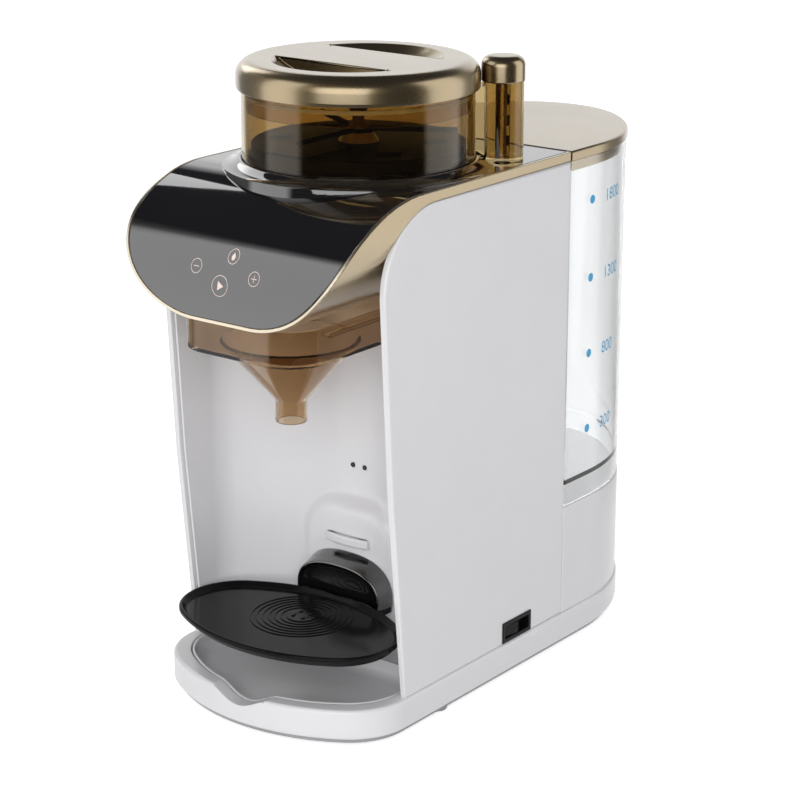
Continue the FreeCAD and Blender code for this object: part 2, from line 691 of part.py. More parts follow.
def build_fascia():
    """Black fascia that lies in the gold band, and the sloping collar on its deck."""
    skin = head_solid("fascia_skin", size.band_wall + size.fascia_gap, 5 * through)
    inside = across_head("fascia_inside", size.fascia_wall, half_width + through)
    hole_low = deck_top - size.fascia_wall * 3
    hole_depth = size.fascia_wall * 6
    drive_hole = rod("fascia_drive_hole", size.motor_radius / 2, hole_depth,
                     (0.0, size.jar_back, hole_low))
    outlet = rod("fascia_outlet", size.outlet_radius + size.hose_gap * 2, hole_depth,
                 (0.0, chute_y, hole_low))
    keep(cut("control_panel_cut", skin, inside, drive_hole, outlet), "control_panel")
    inner = jar_radius + size.jar_gap
    skirt_low = deck_top - size.collar_skirt
    collar = turned("collar_body", (0.0, size.jar_back), [
        (inner, skirt_low), (half_width - size.collar_inset, skirt_low),
        (half_width - size.collar_inset, deck_top),
        (inner + size.collar_wall, deck_top + size.collar_height),
        (inner, deck_top + size.collar_height)])
    seat = across_head("collar_seat", 0.0, half_width)
    rooms = tower_shapes("collar_room", size.tower_gap, deck_top)
    keep(cut("container_collar_cut", collar, seat, *rooms), "container_collar")


def build_touch_board():
    """Touch board behind the front fascia, held off it by four posts."""
    front = size.touch_inset - size.head_reach
    low = head_floor + size.touch_level
    side = size.touch_length / 2 - size.post_inset
    board = box("touch_board_plate", (size.touch_length, size.board_wall, size.touch_height),
                (-size.touch_length / 2, front - size.board_wall, low))
    heights = (low + size.post_inset, low + size.touch_height - size.post_inset)
    spots = [(x, z) for x in (-side, side) for z in heights]
    posts = [rod("board_post_%d" % i, size.post_radius, size.touch_inset,
                 (x, -size.head_reach, z), "Y") for i, (x, z) in enumerate(spots)]
    inside = across_head("board_post_limit", size.fascia_wall, half_width)
    posts_in_room = common("board_posts", fuse("board_post_set", *posts), inside)
    keep(fuse("touch_board_fuse", board, posts_in_room), "touch_board")


# ------------------------------------------------------------------ bay

def liner_outline():
    """Liner seen from above: cheeks against the side panels, round corners and an arc."""
    side = inner_half - size.seam_gap
    face = side - size.cheek_wall
    arc = size.liner_radius
    middle = size.liner_back - arc
    outer = arc + size.liner_wall
    outer_turn = middle + root(outer * outer - side * side)
    spread = arc - size.cheek_corner
    turn_x = face - size.cheek_corner
    turn_y = root(spread * spread - turn_x * turn_x)
    meet_x = turn_x * arc / spread
    meet_y = middle + turn_y * arc / spread
    front = -size.panel_top_front
    points = [(side, front), (side, outer_turn), (-side, outer_turn), (-side, front),
              (-face, front), (-face, middle + turn_y), (-meet_x, meet_y),
              (meet_x, meet_y), (face, middle + turn_y), (face, front)]
    corner = -size.cheek_corner
    return points, {1: outer, 5: corner, 6: -arc, 7: corner}


def liner_side():
    """Liner seen from the side: its front edge follows the panels', set back a little."""
    front = size.cheek_inset - size.panel_top_front
    back = size.liner_back + size.liner_wall
    points = [(back, base_top), (back, panel_top),
              (size.panel_corner - size.panel_top_front, panel_top),
              (front, panel_top - size.panel_corner),
              (size.cheek_inset - size.panel_foot_front, base_top)]
    return points, {2: size.panel_corner, 3: size.panel_bow}


def build_liner(head):
    """Curved bay wall with the boss, its two table hooks and the bottle sensor."""
    level = base_top
    band = common("liner_wall_band",
                  pad_from("liner_wall_plan", "XY_Plane", level, panel_top - base_top,
                           *liner_outline()),
                  pad_from("liner_wall_side", "YZ_Plane", -half_width, size.body_width,
                           *liner_side()))
    boss_deep = size.liner_back + size.liner_wall - size.boss_front
    shoulder = size.boss_corner
    shoulder_low = level + size.boss_height - shoulder
    boss_low = box("boss_low", (size.boss_width, boss_deep, size.boss_height - shoulder),
                   (-size.boss_width / 2, size.boss_front, level))
    crown_x = size.boss_width / 2 - shoulder
    crowns = [rod("boss_crown_%d" % sign, shoulder, boss_deep,
                  (sign * crown_x, size.boss_front, shoulder_low), "Y") for sign in (-1, 1)]
    crown_fill = box("boss_crown_fill", (crown_x * 2, boss_deep, shoulder),
                     (-crown_x, size.boss_front, shoulder_low))
    hollow = box("boss_hollow", (size.boss_width - 2 * size.liner_wall,
                                 size.liner_back - size.boss_front,
                                 size.boss_height - shoulder),
                 (size.liner_wall - size.boss_width / 2, size.boss_front + size.liner_wall,
                  level))
    sides = ((-1, -size.eye_spacing / 2), (1, size.eye_spacing / 2))
    eyes = [rod("eye_hole_%d" % sign, size.eye_radius, size.liner_wall * 8,
                (x, size.liner_back - size.liner_wall * 4, size.eye_level), "Y")
            for sign, x in sides]
    whole = fuse("liner_whole", band, boss_low, crown_fill, *crowns)
    keep(cut("bay_liner_cut", whole, hollow, head, *eyes), "bay_liner")
    lenses = [rod("eye_lens_%d" % sign, size.eye_radius - size.eye_gap, size.eye_length,
                  (x, size.liner_back - size.eye_gap * 12, size.eye_level), "Y")
              for sign, x in sides]
    keep(group("eye_lens_group", lenses), "sensor_lenses")
    lens_back = size.liner_back - size.eye_gap * 12 + size.eye_length
    keep(box("sensor_board_plate", (size.eye_board_width, size.board_wall,
                                    size.eye_board_height),
             (-size.eye_board_width / 2, lens_back, size.eye_level
              - size.eye_board_height / 2)), "sensor_board")
    hook = (size.hook_width, size.hook_reach, size.hook_height)
    hook_front = size.boss_front - size.hook_reach
    keep(box("lower_hook_plate", hook,
             (-size.hook_width / 2, hook_front, size.table_level + size.table_wall
              + size.lower_hook_rise)), "lower_table_hook")
    keep(box("hook_plate", hook, (-size.hook_width / 2, hook_front, size.hook_level)),
         "table_hook")


# ------------------------------------------------------------------ bottle table

def build_table():
    """Bottle table: an oval dish with rings, a screwed hub and the tongue at its back."""
    low = size.table_level
    top = low + size.table_wall
    sunk = size.ring_height
    plate = table_prism("table_plan", 0.0, low, size.table_wall + size.rim_height)
    dish = table_prism("table_dish", size.table_rim, top, size.rim_height + through)
    centre_y = size.ring_back - size.table_centre
    rings = []
    for number in range(int(size.ring_count.value)):
        outer = size.ring_radius - number * size.ring_step
        inner = outer - size.ring_wall
        rings.append(turned("table_ring_%d" % number, (0.0, centre_y), [
            (inner, top - sunk), (outer, top - sunk),
            (outer, top + size.ring_height), (inner, top + size.ring_height)]))
    hub = rod("table_hub", size.hub_radius, size.ring_height + sunk, (0.0, centre_y, top - sunk))
    well_low = top - size.ring_height - size.hose_gap
    sides = ((-1, -size.hub_screw_side), (1, size.hub_screw_side))
    wells = [rod("table_screw_well_%d" % sign, size.hub_screw + size.hose_gap / 2,
                 size.table_wall, (x, centre_y, well_low)) for sign, x in sides]
    tongue_deep = size.bracket_front + size.bracket_depth - size.table_centre
    tongue = box("table_tongue", (size.bracket_width, tongue_deep, size.table_wall),
                 (-size.bracket_width / 2, size.table_centre, low))
    bracket_room = bracket_block("table_bracket_room", -size.hose_gap,
                                 size.bracket_front - size.hose_gap, size.bracket_depth, 0.0)
    whole = fuse("table_whole", cut("table_plate", plate, dish), hub, tongue, *rings)
    keep(cut("bottle_table_cut", whole, bracket_room, *wells), "bottle_table")
    screws = [rod("table_screw_%d" % sign, size.hub_screw, size.hub_screw,
                  (x, centre_y, well_low)) for sign, x in sides]
    keep(group("table_screw_group", screws), "table_screws")


def bracket_block(name, margin, front, depth, lift):
    """Block with round shoulders and a slight crown on the table's tongue, as (x, z)."""
    half = size.bracket_width / 2 - margin
    top = size.table_level + size.table_wall + size.bracket_height - margin
    low = size.table_level + size.table_wall
    corner = size.bracket_corner - margin
    return pad_from(name, "XZ_Plane", -front, depth,
                    [(-half, low + lift), (half, low + lift), (half, top - corner),
                     (half - corner, top), (corner - half, top), (-half, top - corner)],
                    {2: corner, 3: size.bracket_crown, 4: corner}, backwards=True)


def build_bracket():
    """Hollow bracket: its open back drops over the hook, and its front is a dish."""
    block = bracket_block("bracket_block", 0.0, size.bracket_front, size.bracket_depth, 0.0)
    room = bracket_block("bracket_room", size.bracket_wall,
                         size.bracket_front + size.bracket_dish + size.bracket_face,
                         size.bracket_depth, -through)
    dish = bracket_block("bracket_dish", size.bracket_wall, size.bracket_front - through,
                         size.bracket_dish + through, -through)
    keep(cut("table_bracket_cut", block, room, dish), "table_bracket")


def build_tray():
    """Drip tray: a bowl that lifts out of the base."""
    low = base_top - size.tray_depth
    bowl = tray_prism("tray_plan", 0.0, low, size.tray_depth)
    inside = tray_prism("tray_inside", size.tray_wall, low + size.tray_wall, size.tray_depth)
    keep(cut("drip_tray_cut", bowl, inside, finger_notch("tray_notch")), "drip_tray")


# ------------------------------------------------------------------ mixing funnel

def funnel_prism(name, inset, level, height):
    half = size.funnel_width / 2 - inset
    corner = size.funnel_corner - inset
    front = size.funnel_front - inset
    back = size.funnel_back - inset
    return pad_from(name, "XY_Plane", level, height, [
        (-half, corner - front), (corner - half, -front), (half - corner, -front),
        (half, corner - front), (half, back), (-half, back)], {0: corner, 2: corner})


def build_funnel(head):
    """Mixing funnel, the rails it slides on, the powder chute and the water nozzle."""
    top = head_floor - size.funnel_gap
    low = top - size.funnel_height
    wall = size.funnel_wall
    walls = funnel_prism("funnel_plan", 0.0, low, size.funnel_height)
    room = funnel_prism("funnel_room", wall, low + wall, size.funnel_height)
    cone_low = low - size.cone_height
    spout_low = cone_low - size.spout_length
    cone = taper("funnel_cone", size.spout_radius, size.cone_radius, size.cone_height,
                 (0.0, 0.0, cone_low))
    cone_room = taper("funnel_cone_room", size.spout_radius - wall, size.cone_radius - wall,
                      size.cone_height + wall, (0.0, 0.0, cone_low))
    spout = rod("funnel_spout", size.spout_radius, size.spout_length, (0.0, 0.0, spout_low))
    spout_room = rod("funnel_spout_room", size.spout_radius - wall,
                     size.spout_length + 2 * through, (0.0, 0.0, spout_low - through))
    ear_level = top - size.ear_drop
    half = size.funnel_width / 2
    ear_front = size.funnel_corner - size.funnel_front
    ears = [box("funnel_ear_%d" % sign, (size.ear_width + through, size.funnel_back - ear_front,
                                         size.ear_wall), (start, ear_front, ear_level))
            for sign, start in ((-1, -half - size.ear_width), (1, half - through))]
    keep(cut("mixing_funnel_cut", fuse("funnel_whole", walls, cone, spout, *ears),
             room, cone_room, spout_room), "mixing_funnel")
    web_start = half + size.ear_width + size.seam_gap
    lip_start = half + size.rail_gap
    lip_width = web_start + size.rail_wall - lip_start
    rail_low = ear_level - size.seam_gap - size.rail_wall
    rails = []
    for sign in (-1, 1):
        web = box("rail_web_%d" % sign, (size.rail_wall, size.rail_length, size.rail_height),
                  (web_start if sign > 0 else -web_start - size.rail_wall, size.rail_start,
                   rail_low))
        lip = box("rail_lip_%d" % sign, (lip_width, size.rail_length, size.rail_wall),
                  (lip_start if sign > 0 else -lip_start - lip_width, size.rail_start,
                   rail_low))
        rails.append(fuse("rail_%d" % sign, web, lip))
    keep(cut("funnel_rails_cut", group("rail_pair", rails), head), "funnel_rails")
    chute = tube("powder_chute_tube", size.chute_radius, size.chute_radius - size.chute_wall,
                 size.head_drop, (0.0, chute_y, head_floor))
    limit = across_head("chute_limit", size.fascia_wall, half_width)
    keep(common("powder_chute_common", chute, limit), "powder_chute")
    keep(tube("water_nozzle_tube", size.nozzle_radius, size.nozzle_bore, size.nozzle_length,
              (0.0, -size.nozzle_front, head_floor)), "water_nozzle")


# ------------------------------------------------------------------ powder container

def jar_point(reach, degrees):
    """A point round the container's axis; degrees are counted from +X."""
    return reach * cosine(degrees), size.jar_back + reach * sine(degrees)


def tower_shapes(name, margin, low):
    """The tower beside the container and the neck that joins them, grown by margin."""
    reach = lid_radius + size.tower_gap + size.cap_radius
    x, y = jar_point(reach, size.tower_angle)
    height = size.jar_height + size.tower_rise
    tower = rod(name + "_rod", size.tower_radius + margin, height, (x, y, low))
    width = size.neck_width + 2 * margin
    neck = box(name + "_neck", (reach, width, size.jar_height), (0.0, 0.0, 0.0))
    neck.Placement = FreeCAD.Placement(FreeCAD.Vector(), FreeCAD.Rotation(
        FreeCAD.Vector(0, 0, 1), size.tower_angle.value))
    bind(neck, "Placement.Rotation.Angle", size.tower_angle)
    place(neck, width / 2 * sine(size.tower_angle),
          size.jar_back - width / 2 * cosine(size.tower_angle), low)
    return tower, neck


def build_container():
    """Powder container with its side tower, floor, cap and slotted post."""
    low = deck_top + size.jar_gap
    inner = jar_radius - size.jar_wall
    reach = lid_radius + size.tower_gap + size.cap_radius
    tower_x, tower_y = jar_point(reach, size.tower_angle)
    wall_rod = rod("jar_rod", jar_radius, size.jar_height, (0.0, size.jar_back, low))
    tower, neck = tower_shapes("tower", 0.0, low)
    room = rod("jar_room", inner, size.jar_height + 2 * through,
               (0.0, size.jar_back, low - through))
    post_low = low + size.tower_wall
    tower_room = rod("tower_room", size.tower_radius - size.tower_wall,
                     size.jar_height + size.tower_rise, (tower_x, tower_y, post_low))
    keep(cut("powder_container_cut", fuse("jar_whole", wall_rod, tower, neck), room,
             tower_room), "powder_container")

    floor = rod("jar_floor_disc", inner, size.floor_wall, (0.0, size.jar_back, low))
    outlet = rod("jar_outlet", size.outlet_radius, size.floor_wall * 3,
                 (0.0, chute_y, low - size.floor_wall))
    hub_hole = rod("jar_hub_hole", size.shaft_radius + size.run_gap, size.floor_wall * 3,
                   (0.0, size.jar_back, low - size.floor_wall))
    keep(cut("container_floor_cut", floor, outlet, hub_hole), "container_floor")

    cap_low = low + size.jar_height + size.tower_rise
    cap_top = cap_low + size.cap_height
    keep(turned("cap_body", (tower_x, tower_y), [
        (0, cap_low), (size.cap_radius, cap_low), (size.cap_radius, cap_top - size.cap_edge),
        (size.cap_radius - size.cap_edge, cap_top), (0, cap_top)], {2: size.cap_edge}),
        "tower_cap")
    post = rod("tower_post_rod", size.post_bar, cap_low - post_low, (tower_x, tower_y, post_low))
    slots = [box("tower_slot_%d" % i, (size.post_bar * 3, size.post_slot,
                                       size.post_slot_height),
                 (tower_x - size.post_bar * 1.5, tower_y - size.post_slot / 2,
                  post_low + size.post_slot_height + size.post_slot_step * i))
             for i in range(3)]
    keep(cut("tower_post_cut", post, *slots), "tower_post")


def build_wheel():
    """Dosing wheel, stirrer and scraper: the wheel turns under the fixed scraper."""
    low = deck_top + size.jar_gap
    wheel_low = low + size.floor_wall + size.seam_gap
    wheel_top = wheel_low + size.wheel_wall
    disc = rod("wheel_disc", wheel_radius, size.wheel_wall,
               (0.0, size.jar_back, wheel_low))
    hub = rod("wheel_hub", size.shaft_radius, wheel_low - low, (0.0, size.jar_back, low))
    pockets = []
    for number in range(int(size.pocket_count.value)):
        turn = math.radians(-90 + 360.0 * number / size.pocket_count.value)
        pockets.append(rod("wheel_pocket_%d" % number, size.pocket_radius,
                           size.wheel_wall * 2,
                           (outlet_circle * math.cos(turn),
                            size.jar_back + outlet_circle * math.sin(turn),
                            wheel_low - 2 * through)))
    slot_width = size.dog_width + size.hose_gap
    slot = box("wheel_slot", (size.shaft_radius * 3, slot_width, size.dog_height + through),
               (size.shaft_radius * -1.5, size.jar_back - slot_width / 2, low - through))
    keep(cut("powder_wheel_cut", fuse("wheel_whole", disc, hub), slot, *pockets),
         "powder_wheel")

    foot = taper("stir_cone", size.cone_foot, size.cone_waist, size.cone_rise,
                 (0.0, size.jar_back, wheel_top))
    crown = taper("stir_crown", size.cone_waist, size.cone_foot * 0.7, size.cone_rise,
                  (0.0, size.jar_back, wheel_top + size.cone_rise))
    keep(fuse("stir_post_fuse", foot, crown), "stir_post")
    blade_low = wheel_top + size.scraper_height + size.seam_gap * 2
    ring_outer = size.cone_foot - size.blade_wall
    ring = rod("stir_ring", ring_outer, size.blade_height, (0.0, size.jar_back, blade_low))
    blades = []
    for number in range(int(size.blade_count.value)):
        blade = box("stir_blade_%d" % number, (wheel_radius - size.cone_foot,
                                               size.blade_wall, size.blade_height),
                    (0.0, 0.0, 0.0))
        turn = size.blade_start.value + 360.0 * number / size.blade_count.value
        blade.Placement = FreeCAD.Placement(FreeCAD.Vector(), FreeCAD.Rotation(
            FreeCAD.Vector(0, 0, 1), turn))
        reach = ring_outer - size.blade_wall
        place(blade, reach * math.cos(math.radians(turn)),
              size.jar_back + reach * math.sin(math.radians(turn)), blade_low)
        blades.append(blade)
    cone_cut = taper("stir_cone_cut", size.cone_foot, size.cone_waist, size.cone_rise,
                     (0.0, size.jar_back, wheel_top))
    keep(cut("stirring_blades_cut", fuse("blades_whole", ring, *blades), cone_cut),
         "stirring_blades")
    inner = jar_radius - size.jar_wall
    scraper = box("scraper_bar", (size.outlet_radius * 3, inner - 2 * size.cone_foot,
                                  size.scraper_wall),
                  (size.outlet_radius * -1.5, size.jar_back - inner,
                   wheel_top + size.seam_gap))
    rim = rod("scraper_rim", inner, size.scraper_wall,
              (0.0, size.jar_back, wheel_top + size.seam_gap))
    keep(common("scraper_common", scraper, rim), "scraper_plate")


def build_lid():
    """Container lid with its two finger pockets, the plug below it and the plug's seal."""
    low = deck_top + size.jar_gap + size.jar_height + size.seam_gap
    top = low + size.lid_height
    radius = lid_radius
    wall = size.lid_wall
    edge = size.lid_edge
    shell = turned("lid_shell", (0.0, size.jar_back), [
        (0, low), (radius - size.lid_bevel, low), (radius, low + size.lid_draft),
        (radius, top - edge), (radius - edge, top), (0, top + size.lid_crown)], {3: edge})
    cavity = taper("lid_cavity", radius - wall - size.lid_draft,
                   radius - wall - edge + size.lid_draft,
                   size.lid_height - wall, (0.0, size.jar_back, low))
    scoop_radius = (size.pocket_reach * size.pocket_reach
                    + size.pocket_depth * size.pocket_depth) / (2 * size.pocket_depth)
    cups = []
    pockets = []
    for sign in (-1, 1):
        scoop = ball("lid_scoop_%d" % sign, scoop_radius,
                     (0.0, size.jar_back + sign * size.pocket_shift,
                      top + scoop_radius - size.pocket_depth))
        start = size.grip_width / 2 if sign > 0 else -size.grip_width / 2 - size.pocket_reach
        side = box("lid_scoop_side_%d" % sign, (size.pocket_reach * 2, size.pocket_reach,
                                                size.pocket_depth + 4 * through),
                   (-size.pocket_reach, size.jar_back + start,
                    top - size.pocket_depth - through))
        pockets.append(common("lid_pocket_%d" % sign, scoop, side))
        cups.append(box("lid_cup_%d" % sign, (size.pocket_reach * 2 + 4 * wall,
                                              size.pocket_reach + 2 * wall, size.lid_height),
                        (-size.pocket_reach - 2 * wall, size.jar_back + start - wall,
                         top - size.pocket_depth - wall)))
    room = cut("lid_room", cavity, *cups)
    keep(cut("container_lid_cut", shell, room, *pockets), "container_lid")
    inner = jar_radius - size.jar_wall - size.plug_gap
    body = tube("plug_tube", inner, inner - size.plug_wall, size.plug_height - size.run_gap,
                (0.0, size.jar_back, low - size.plug_height))
    seal_low = low - size.seal_drop
    seal_inner = inner - size.seal_radius
    groove = tube("plug_groove", inner + through, seal_inner, size.seal_radius * 2,
                  (0.0, size.jar_back, seal_low))
    keep(cut("lid_plug_cut", body, groove), "lid_plug")
    keep(tube("lid_seal_ring", inner + size.plug_gap - size.run_gap * 2, seal_inner,
              size.seal_radius * 2, (0.0, size.jar_back, seal_low)), "lid_seal")


# ------------------------------------------------------------------ water tank

def build_rear_housing():
    """Rear housing: carries the tank and closes the machine behind the side panels."""
    top = base_top + size.seat_height
    front = size.seam_back
    outer = rear_prism("housing_plan", 0.0, front, base_top, size.seat_height)
    inner = rear_prism("housing_room", size.seat_wall, front + size.seat_wall,
                       base_top - through, size.seat_height - size.seat_wall + through)
    cup_outer = size.valve_radius + size.seat_wall
    well = rod("housing_well", cup_outer, size.seat_wall * 3,
               (0.0, size.valve_back, top - size.seat_wall * 2))
    inlet_low = base_top + size.inlet_rise
    inlet = box("inlet_hole", (size.inlet_width, size.inlet_depth, size.inlet_height),
                (-size.inlet_width / 2, size.rear_reach - size.seat_wall * 4, inlet_low))
    hose_hole = rod("housing_hose_hole", size.hose_radius + size.hose_room, size.seat_wall * 4,
                    (0.0, size.seam_back - size.seat_wall * 2, hose_level), "Y")
    keep(cut("rear_housing_cut", outer, inner, well, inlet, hose_hole), "rear_housing")
    socket_low = top - size.socket_depth
    cup = tube("socket_cup", cup_outer, size.valve_radius + size.hose_room,
               size.socket_depth - size.socket_wall / 2, (0.0, size.valve_back, socket_low))
    floor = rod("socket_floor", cup_outer, size.socket_wall,
                (0.0, size.valve_back, socket_low - size.socket_wall))
    pin = rod("socket_pin", size.pin_radius, size.pin_height,
              (0.0, size.valve_back, socket_low))
    tail = rod("socket_tail", size.hose_radius + size.hose_room, size.socket_tail,
               (0.0, size.valve_back, socket_low - size.socket_wall - size.socket_tail))
    keep(fuse("tank_socket_fuse", cup, floor, pin, tail), "tank_socket")
    keep(box("inlet_block", (size.inlet_width, size.inlet_depth, size.inlet_height),
             (-size.inlet_width / 2, size.rear_reach - size.inlet_depth - size.seam_gap,
              inlet_low)), "power_inlet")


def build_tank():
    """Water tank with its sprung bottom valve; the tank's neck drops in the socket."""
    low = base_top + size.seat_height + size.tank_gap
    top = panel_top - size.seam_gap
    front = size.seam_back + size.tank_gap * 2
    inset = size.tank_inset
    outer = rear_prism("tank_plan", inset, front, low, top - low)
    wall = size.tank_wall
    room = rear_prism("tank_room", inset + wall, front + wall,
                      low + size.tank_foot + size.tank_floor, top - low)
    foot = rear_prism("tank_foot_room", inset + wall, front + wall, low - through,
                      size.tank_foot + through)
    neck_low = low - size.neck_drop
    inner = size.valve_radius - size.valve_wall
    neck = rod("tank_neck", size.valve_radius, size.tank_foot + size.neck_drop,
               (0.0, size.valve_back, neck_low))
    neck_room = rod("tank_neck_room", inner, size.tank_foot * 2,
                    (0.0, size.valve_back, neck_low + size.valve_wall))
    stem_hole = rod("tank_stem_hole", size.valve_stem + size.seal_wall, size.tank_foot,
                    (0.0, size.valve_back, neck_low - through))
    keep(cut("water_tank_cut", fuse("tank_whole", cut("tank_shell", outer, room, foot), neck),
             neck_room, stem_hole), "water_tank")

    seal_low = neck_low + size.valve_wall + size.run_gap
    disc_low = seal_low + size.seal_wall + size.run_gap
    disc = rod("valve_disc_rod", size.valve_disc, size.valve_wall,
               (0.0, size.valve_back, disc_low))
    stem_low = neck_low - size.seal_wall + size.run_gap * 2
    stem = rod("valve_rod", size.valve_stem, size.valve_length,
               (0.0, size.valve_back, stem_low))
    keep(fuse("tank_valve_fuse", disc, stem), "tank_valve")
    keep(tube("valve_seal_ring", size.valve_disc + size.hose_gap,
              size.valve_stem + size.run_gap, size.seal_wall,
              (0.0, size.valve_back, seal_low)), "valve_seal")
    spring_low = disc_low + size.valve_wall + size.run_gap * 2
    spring_inner = size.valve_stem + size.spring_wall * 0.7
    bridge_low = neck_low + size.tank_foot
    keep(tube("valve_spring_tube", spring_inner + size.spring_wall, spring_inner,
              bridge_low - spring_low, (0.0, size.valve_back, spring_low)), "valve_spring")
    keep(tube("bridge_ring", inner - size.run_gap, size.valve_stem + size.spring_wall / 3,
              size.seal_wall, (0.0, size.valve_back, bridge_low)), "spring_bridge")


def build_tank_lid():
    """Tank lid: a flat plate with a hollow plug that drops inside the tank's wall."""
    low = panel_top
    wall = size.tank_wall
    plate = rear_prism("tank_lid_plan", -size.tank_lid_proud, size.seam_back + size.tank_gap,
                       low, size.tank_lid_wall)
    inset = size.tank_inset + wall + size.tank_plug_gap
    front = size.seam_back + size.tank_gap * 2 + wall + size.tank_plug_gap
    plug_low = low - size.tank_plug_height
    plug = rear_prism("tank_plug_plan", inset, front, plug_low, size.tank_plug_height)
    hollow = rear_prism("tank_plug_room", inset + wall, front + wall, plug_low - through,
                        size.tank_plug_height + through + size.tank_lid_wall / 2)
    keep(cut("tank_lid_cut", fuse("tank_lid_whole", plate, plug), hollow), "tank_lid")


# ------------------------------------------------------------------ inside

def build_spine():
    """Rear wall of the column, with the shelf that carries heater and pump."""
    wall_front = size.seam_back - size.spine_wall - size.seam_gap
    wall = box("spine_wall_plate", (inner_half * 2 - size.seam_gap * 2, size.spine_wall,
                                    head_floor - size.seam_gap - base_top),
               (size.seam_gap - inner_half, wall_front, base_top))
    shelf_level = base_top + size.shelf_rise
    shelf_front = size.liner_back + size.liner_wall + size.shelf_gap
    shelf = box("spine_shelf", (size.shelf_width, wall_front - shelf_front, size.spine_wall),
                (-size.shelf_width / 2, shelf_front, shelf_level))
    ribs = [box("spine_rib_%d" % sign, (size.spine_wall, size.rib_depth, size.rib_height),
                (sign * size.rib_side - size.spine_wall / 2, wall_front - size.rib_depth,
                 shelf_level - size.rib_height)) for sign in (-1, 1)]
    hole_radius = size.hose_radius + size.hose_room
    hose_hole = rod("spine_hose_hole", hole_radius, size.spine_wall * 3,
                    (0.0, wall_front - size.spine_wall, hose_level), "Y")
    riser_hole = rod("spine_riser_hole", hole_radius, size.spine_wall * 3,
                     (pump_x, pump_y, shelf_level - size.spine_wall))
    peg_side = size.main_board_width / 2 - size.peg_inset
    board_low = base_top + size.main_board_rise
    heights = (board_low + size.peg_inset, board_low + size.main_board_height - size.peg_inset)
    spots = [(x, z) for x in (-peg_side, peg_side) for z in heights]
    pegs = [rod("board_peg_%d" % i, size.peg_radius, size.peg_length,
                (x, wall_front - size.peg_length, z), "Y") for i, (x, z) in enumerate(spots)]
    keep(cut("spine_frame_cut", fuse("spine_whole", wall, shelf, *(ribs + pegs)), hose_hole,
             riser_hole), "spine_frame")


def hose(name, points):
    """A hose along straight runs joined by round bends."""
    bend = size.hose_bend.value
    vectors = [FreeCAD.Vector(*[value_of(part) for part in point]) for point in points]
    edges = []
    last = vectors[0]
    for index in range(1, len(vectors) - 1):
        corner = vectors[index]
        before = (vectors[index - 1] - corner).normalize()
        after = (vectors[index + 1] - corner).normalize()
        half = before.getAngle(after) / 2
        run = bend / math.tan(half)
        start = corner + before * run
        end = corner + after * run
        middle = (before + after).normalize()
        tip = corner + middle * (bend / math.sin(half) - bend)
        edges.append(Part.LineSegment(last, start).toShape())
        edges.append(Part.Arc(start, tip, end).toShape())
        last = end
    edges.append(Part.LineSegment(last, vectors[-1]).toShape())
    path = Part.Wire(edges)
    direction = vectors[1] - vectors[0]
    solids = []
    for radius in (size.hose_radius.value, size.hose_bore.value):
        ring = Part.Wire(Part.makeCircle(radius, vectors[0], direction))
        solids.append(path.makePipeShell([ring], True, False))
    feature = doc.addObject("Part::Feature", name)
    feature.Shape = solids[0].cut(solids[1])
    feature.Placement = FreeCAD.Placement(FreeCAD.Vector(0, set_back.value, 0),
                                          FreeCAD.Rotation())
    return feature


def build_water_system():
    """Pump under the shelf, heater on it, and the three hoses along the real route."""
    shelf = base_top + size.shelf_rise + size.spine_wall
    pump = rod("pump_can", size.pump_radius, size.pump_height, (pump_x, pump_y, base_top))
    pump_top = base_top + size.pump_height
    pump_head = rod("pump_head_rod", size.pump_head, size.pump_head_height,
                    (pump_x, pump_y, pump_top))
    keep(fuse("water_pump_fuse", pump, pump_head), "water_pump")
    heater_x = size.heater_side
    heater = rod("heater_can", size.heater_radius, size.heater_height,
                 (heater_x, heater_y, shelf))
    dome_low = shelf + size.heater_height
    dome = taper("heater_dome_cone", size.heater_radius, size.heater_neck, size.heater_dome,
                 (heater_x, heater_y, dome_low))
    keep(fuse("heater_fuse", heater, dome), "heater_tank")
    keep(rod("thermostat_disc", size.thermostat_radius, size.thermostat_wall,
             (heater_x - size.heater_radius - size.thermostat_wall, heater_y,
              shelf + size.thermostat_rise), "X"), "thermostat")
    gap = size.hose_gap
    socket_low = (base_top + size.seat_height - size.socket_depth - size.socket_wall
                  - size.socket_tail)
    keep(hose("tank_hose_pipe", [
        (0.0, size.valve_back, socket_low - gap), (0.0, size.valve_back, hose_level),
        (0.0, pump_y, hose_level), (pump_x + size.pump_radius + gap, pump_y, hose_level)]),
        "tank_hose")
    turn = size.hose_bend + gap
    keep(hose("riser_hose_pipe", [
        (pump_x, pump_y, pump_top + size.pump_head_height + gap),
        (pump_x, pump_y, shelf + turn),
        (heater_x - size.heater_radius - gap, pump_y, shelf + turn)]), "riser_hose")
    level = head_floor + size.spout_hose_rise
    keep(hose("spout_hose_pipe", [
        (heater_x, heater_y, dome_low + size.heater_dome + gap), (heater_x, heater_y, level),
        (size.spout_hose_side, size.jar_back, level),
        (size.spout_hose_side - size.hose_bend, 0.0, level),
        (0.0, -size.nozzle_front, level),
        (0.0, -size.nozzle_front, head_floor + size.nozzle_length + gap)]), "spout_hose")


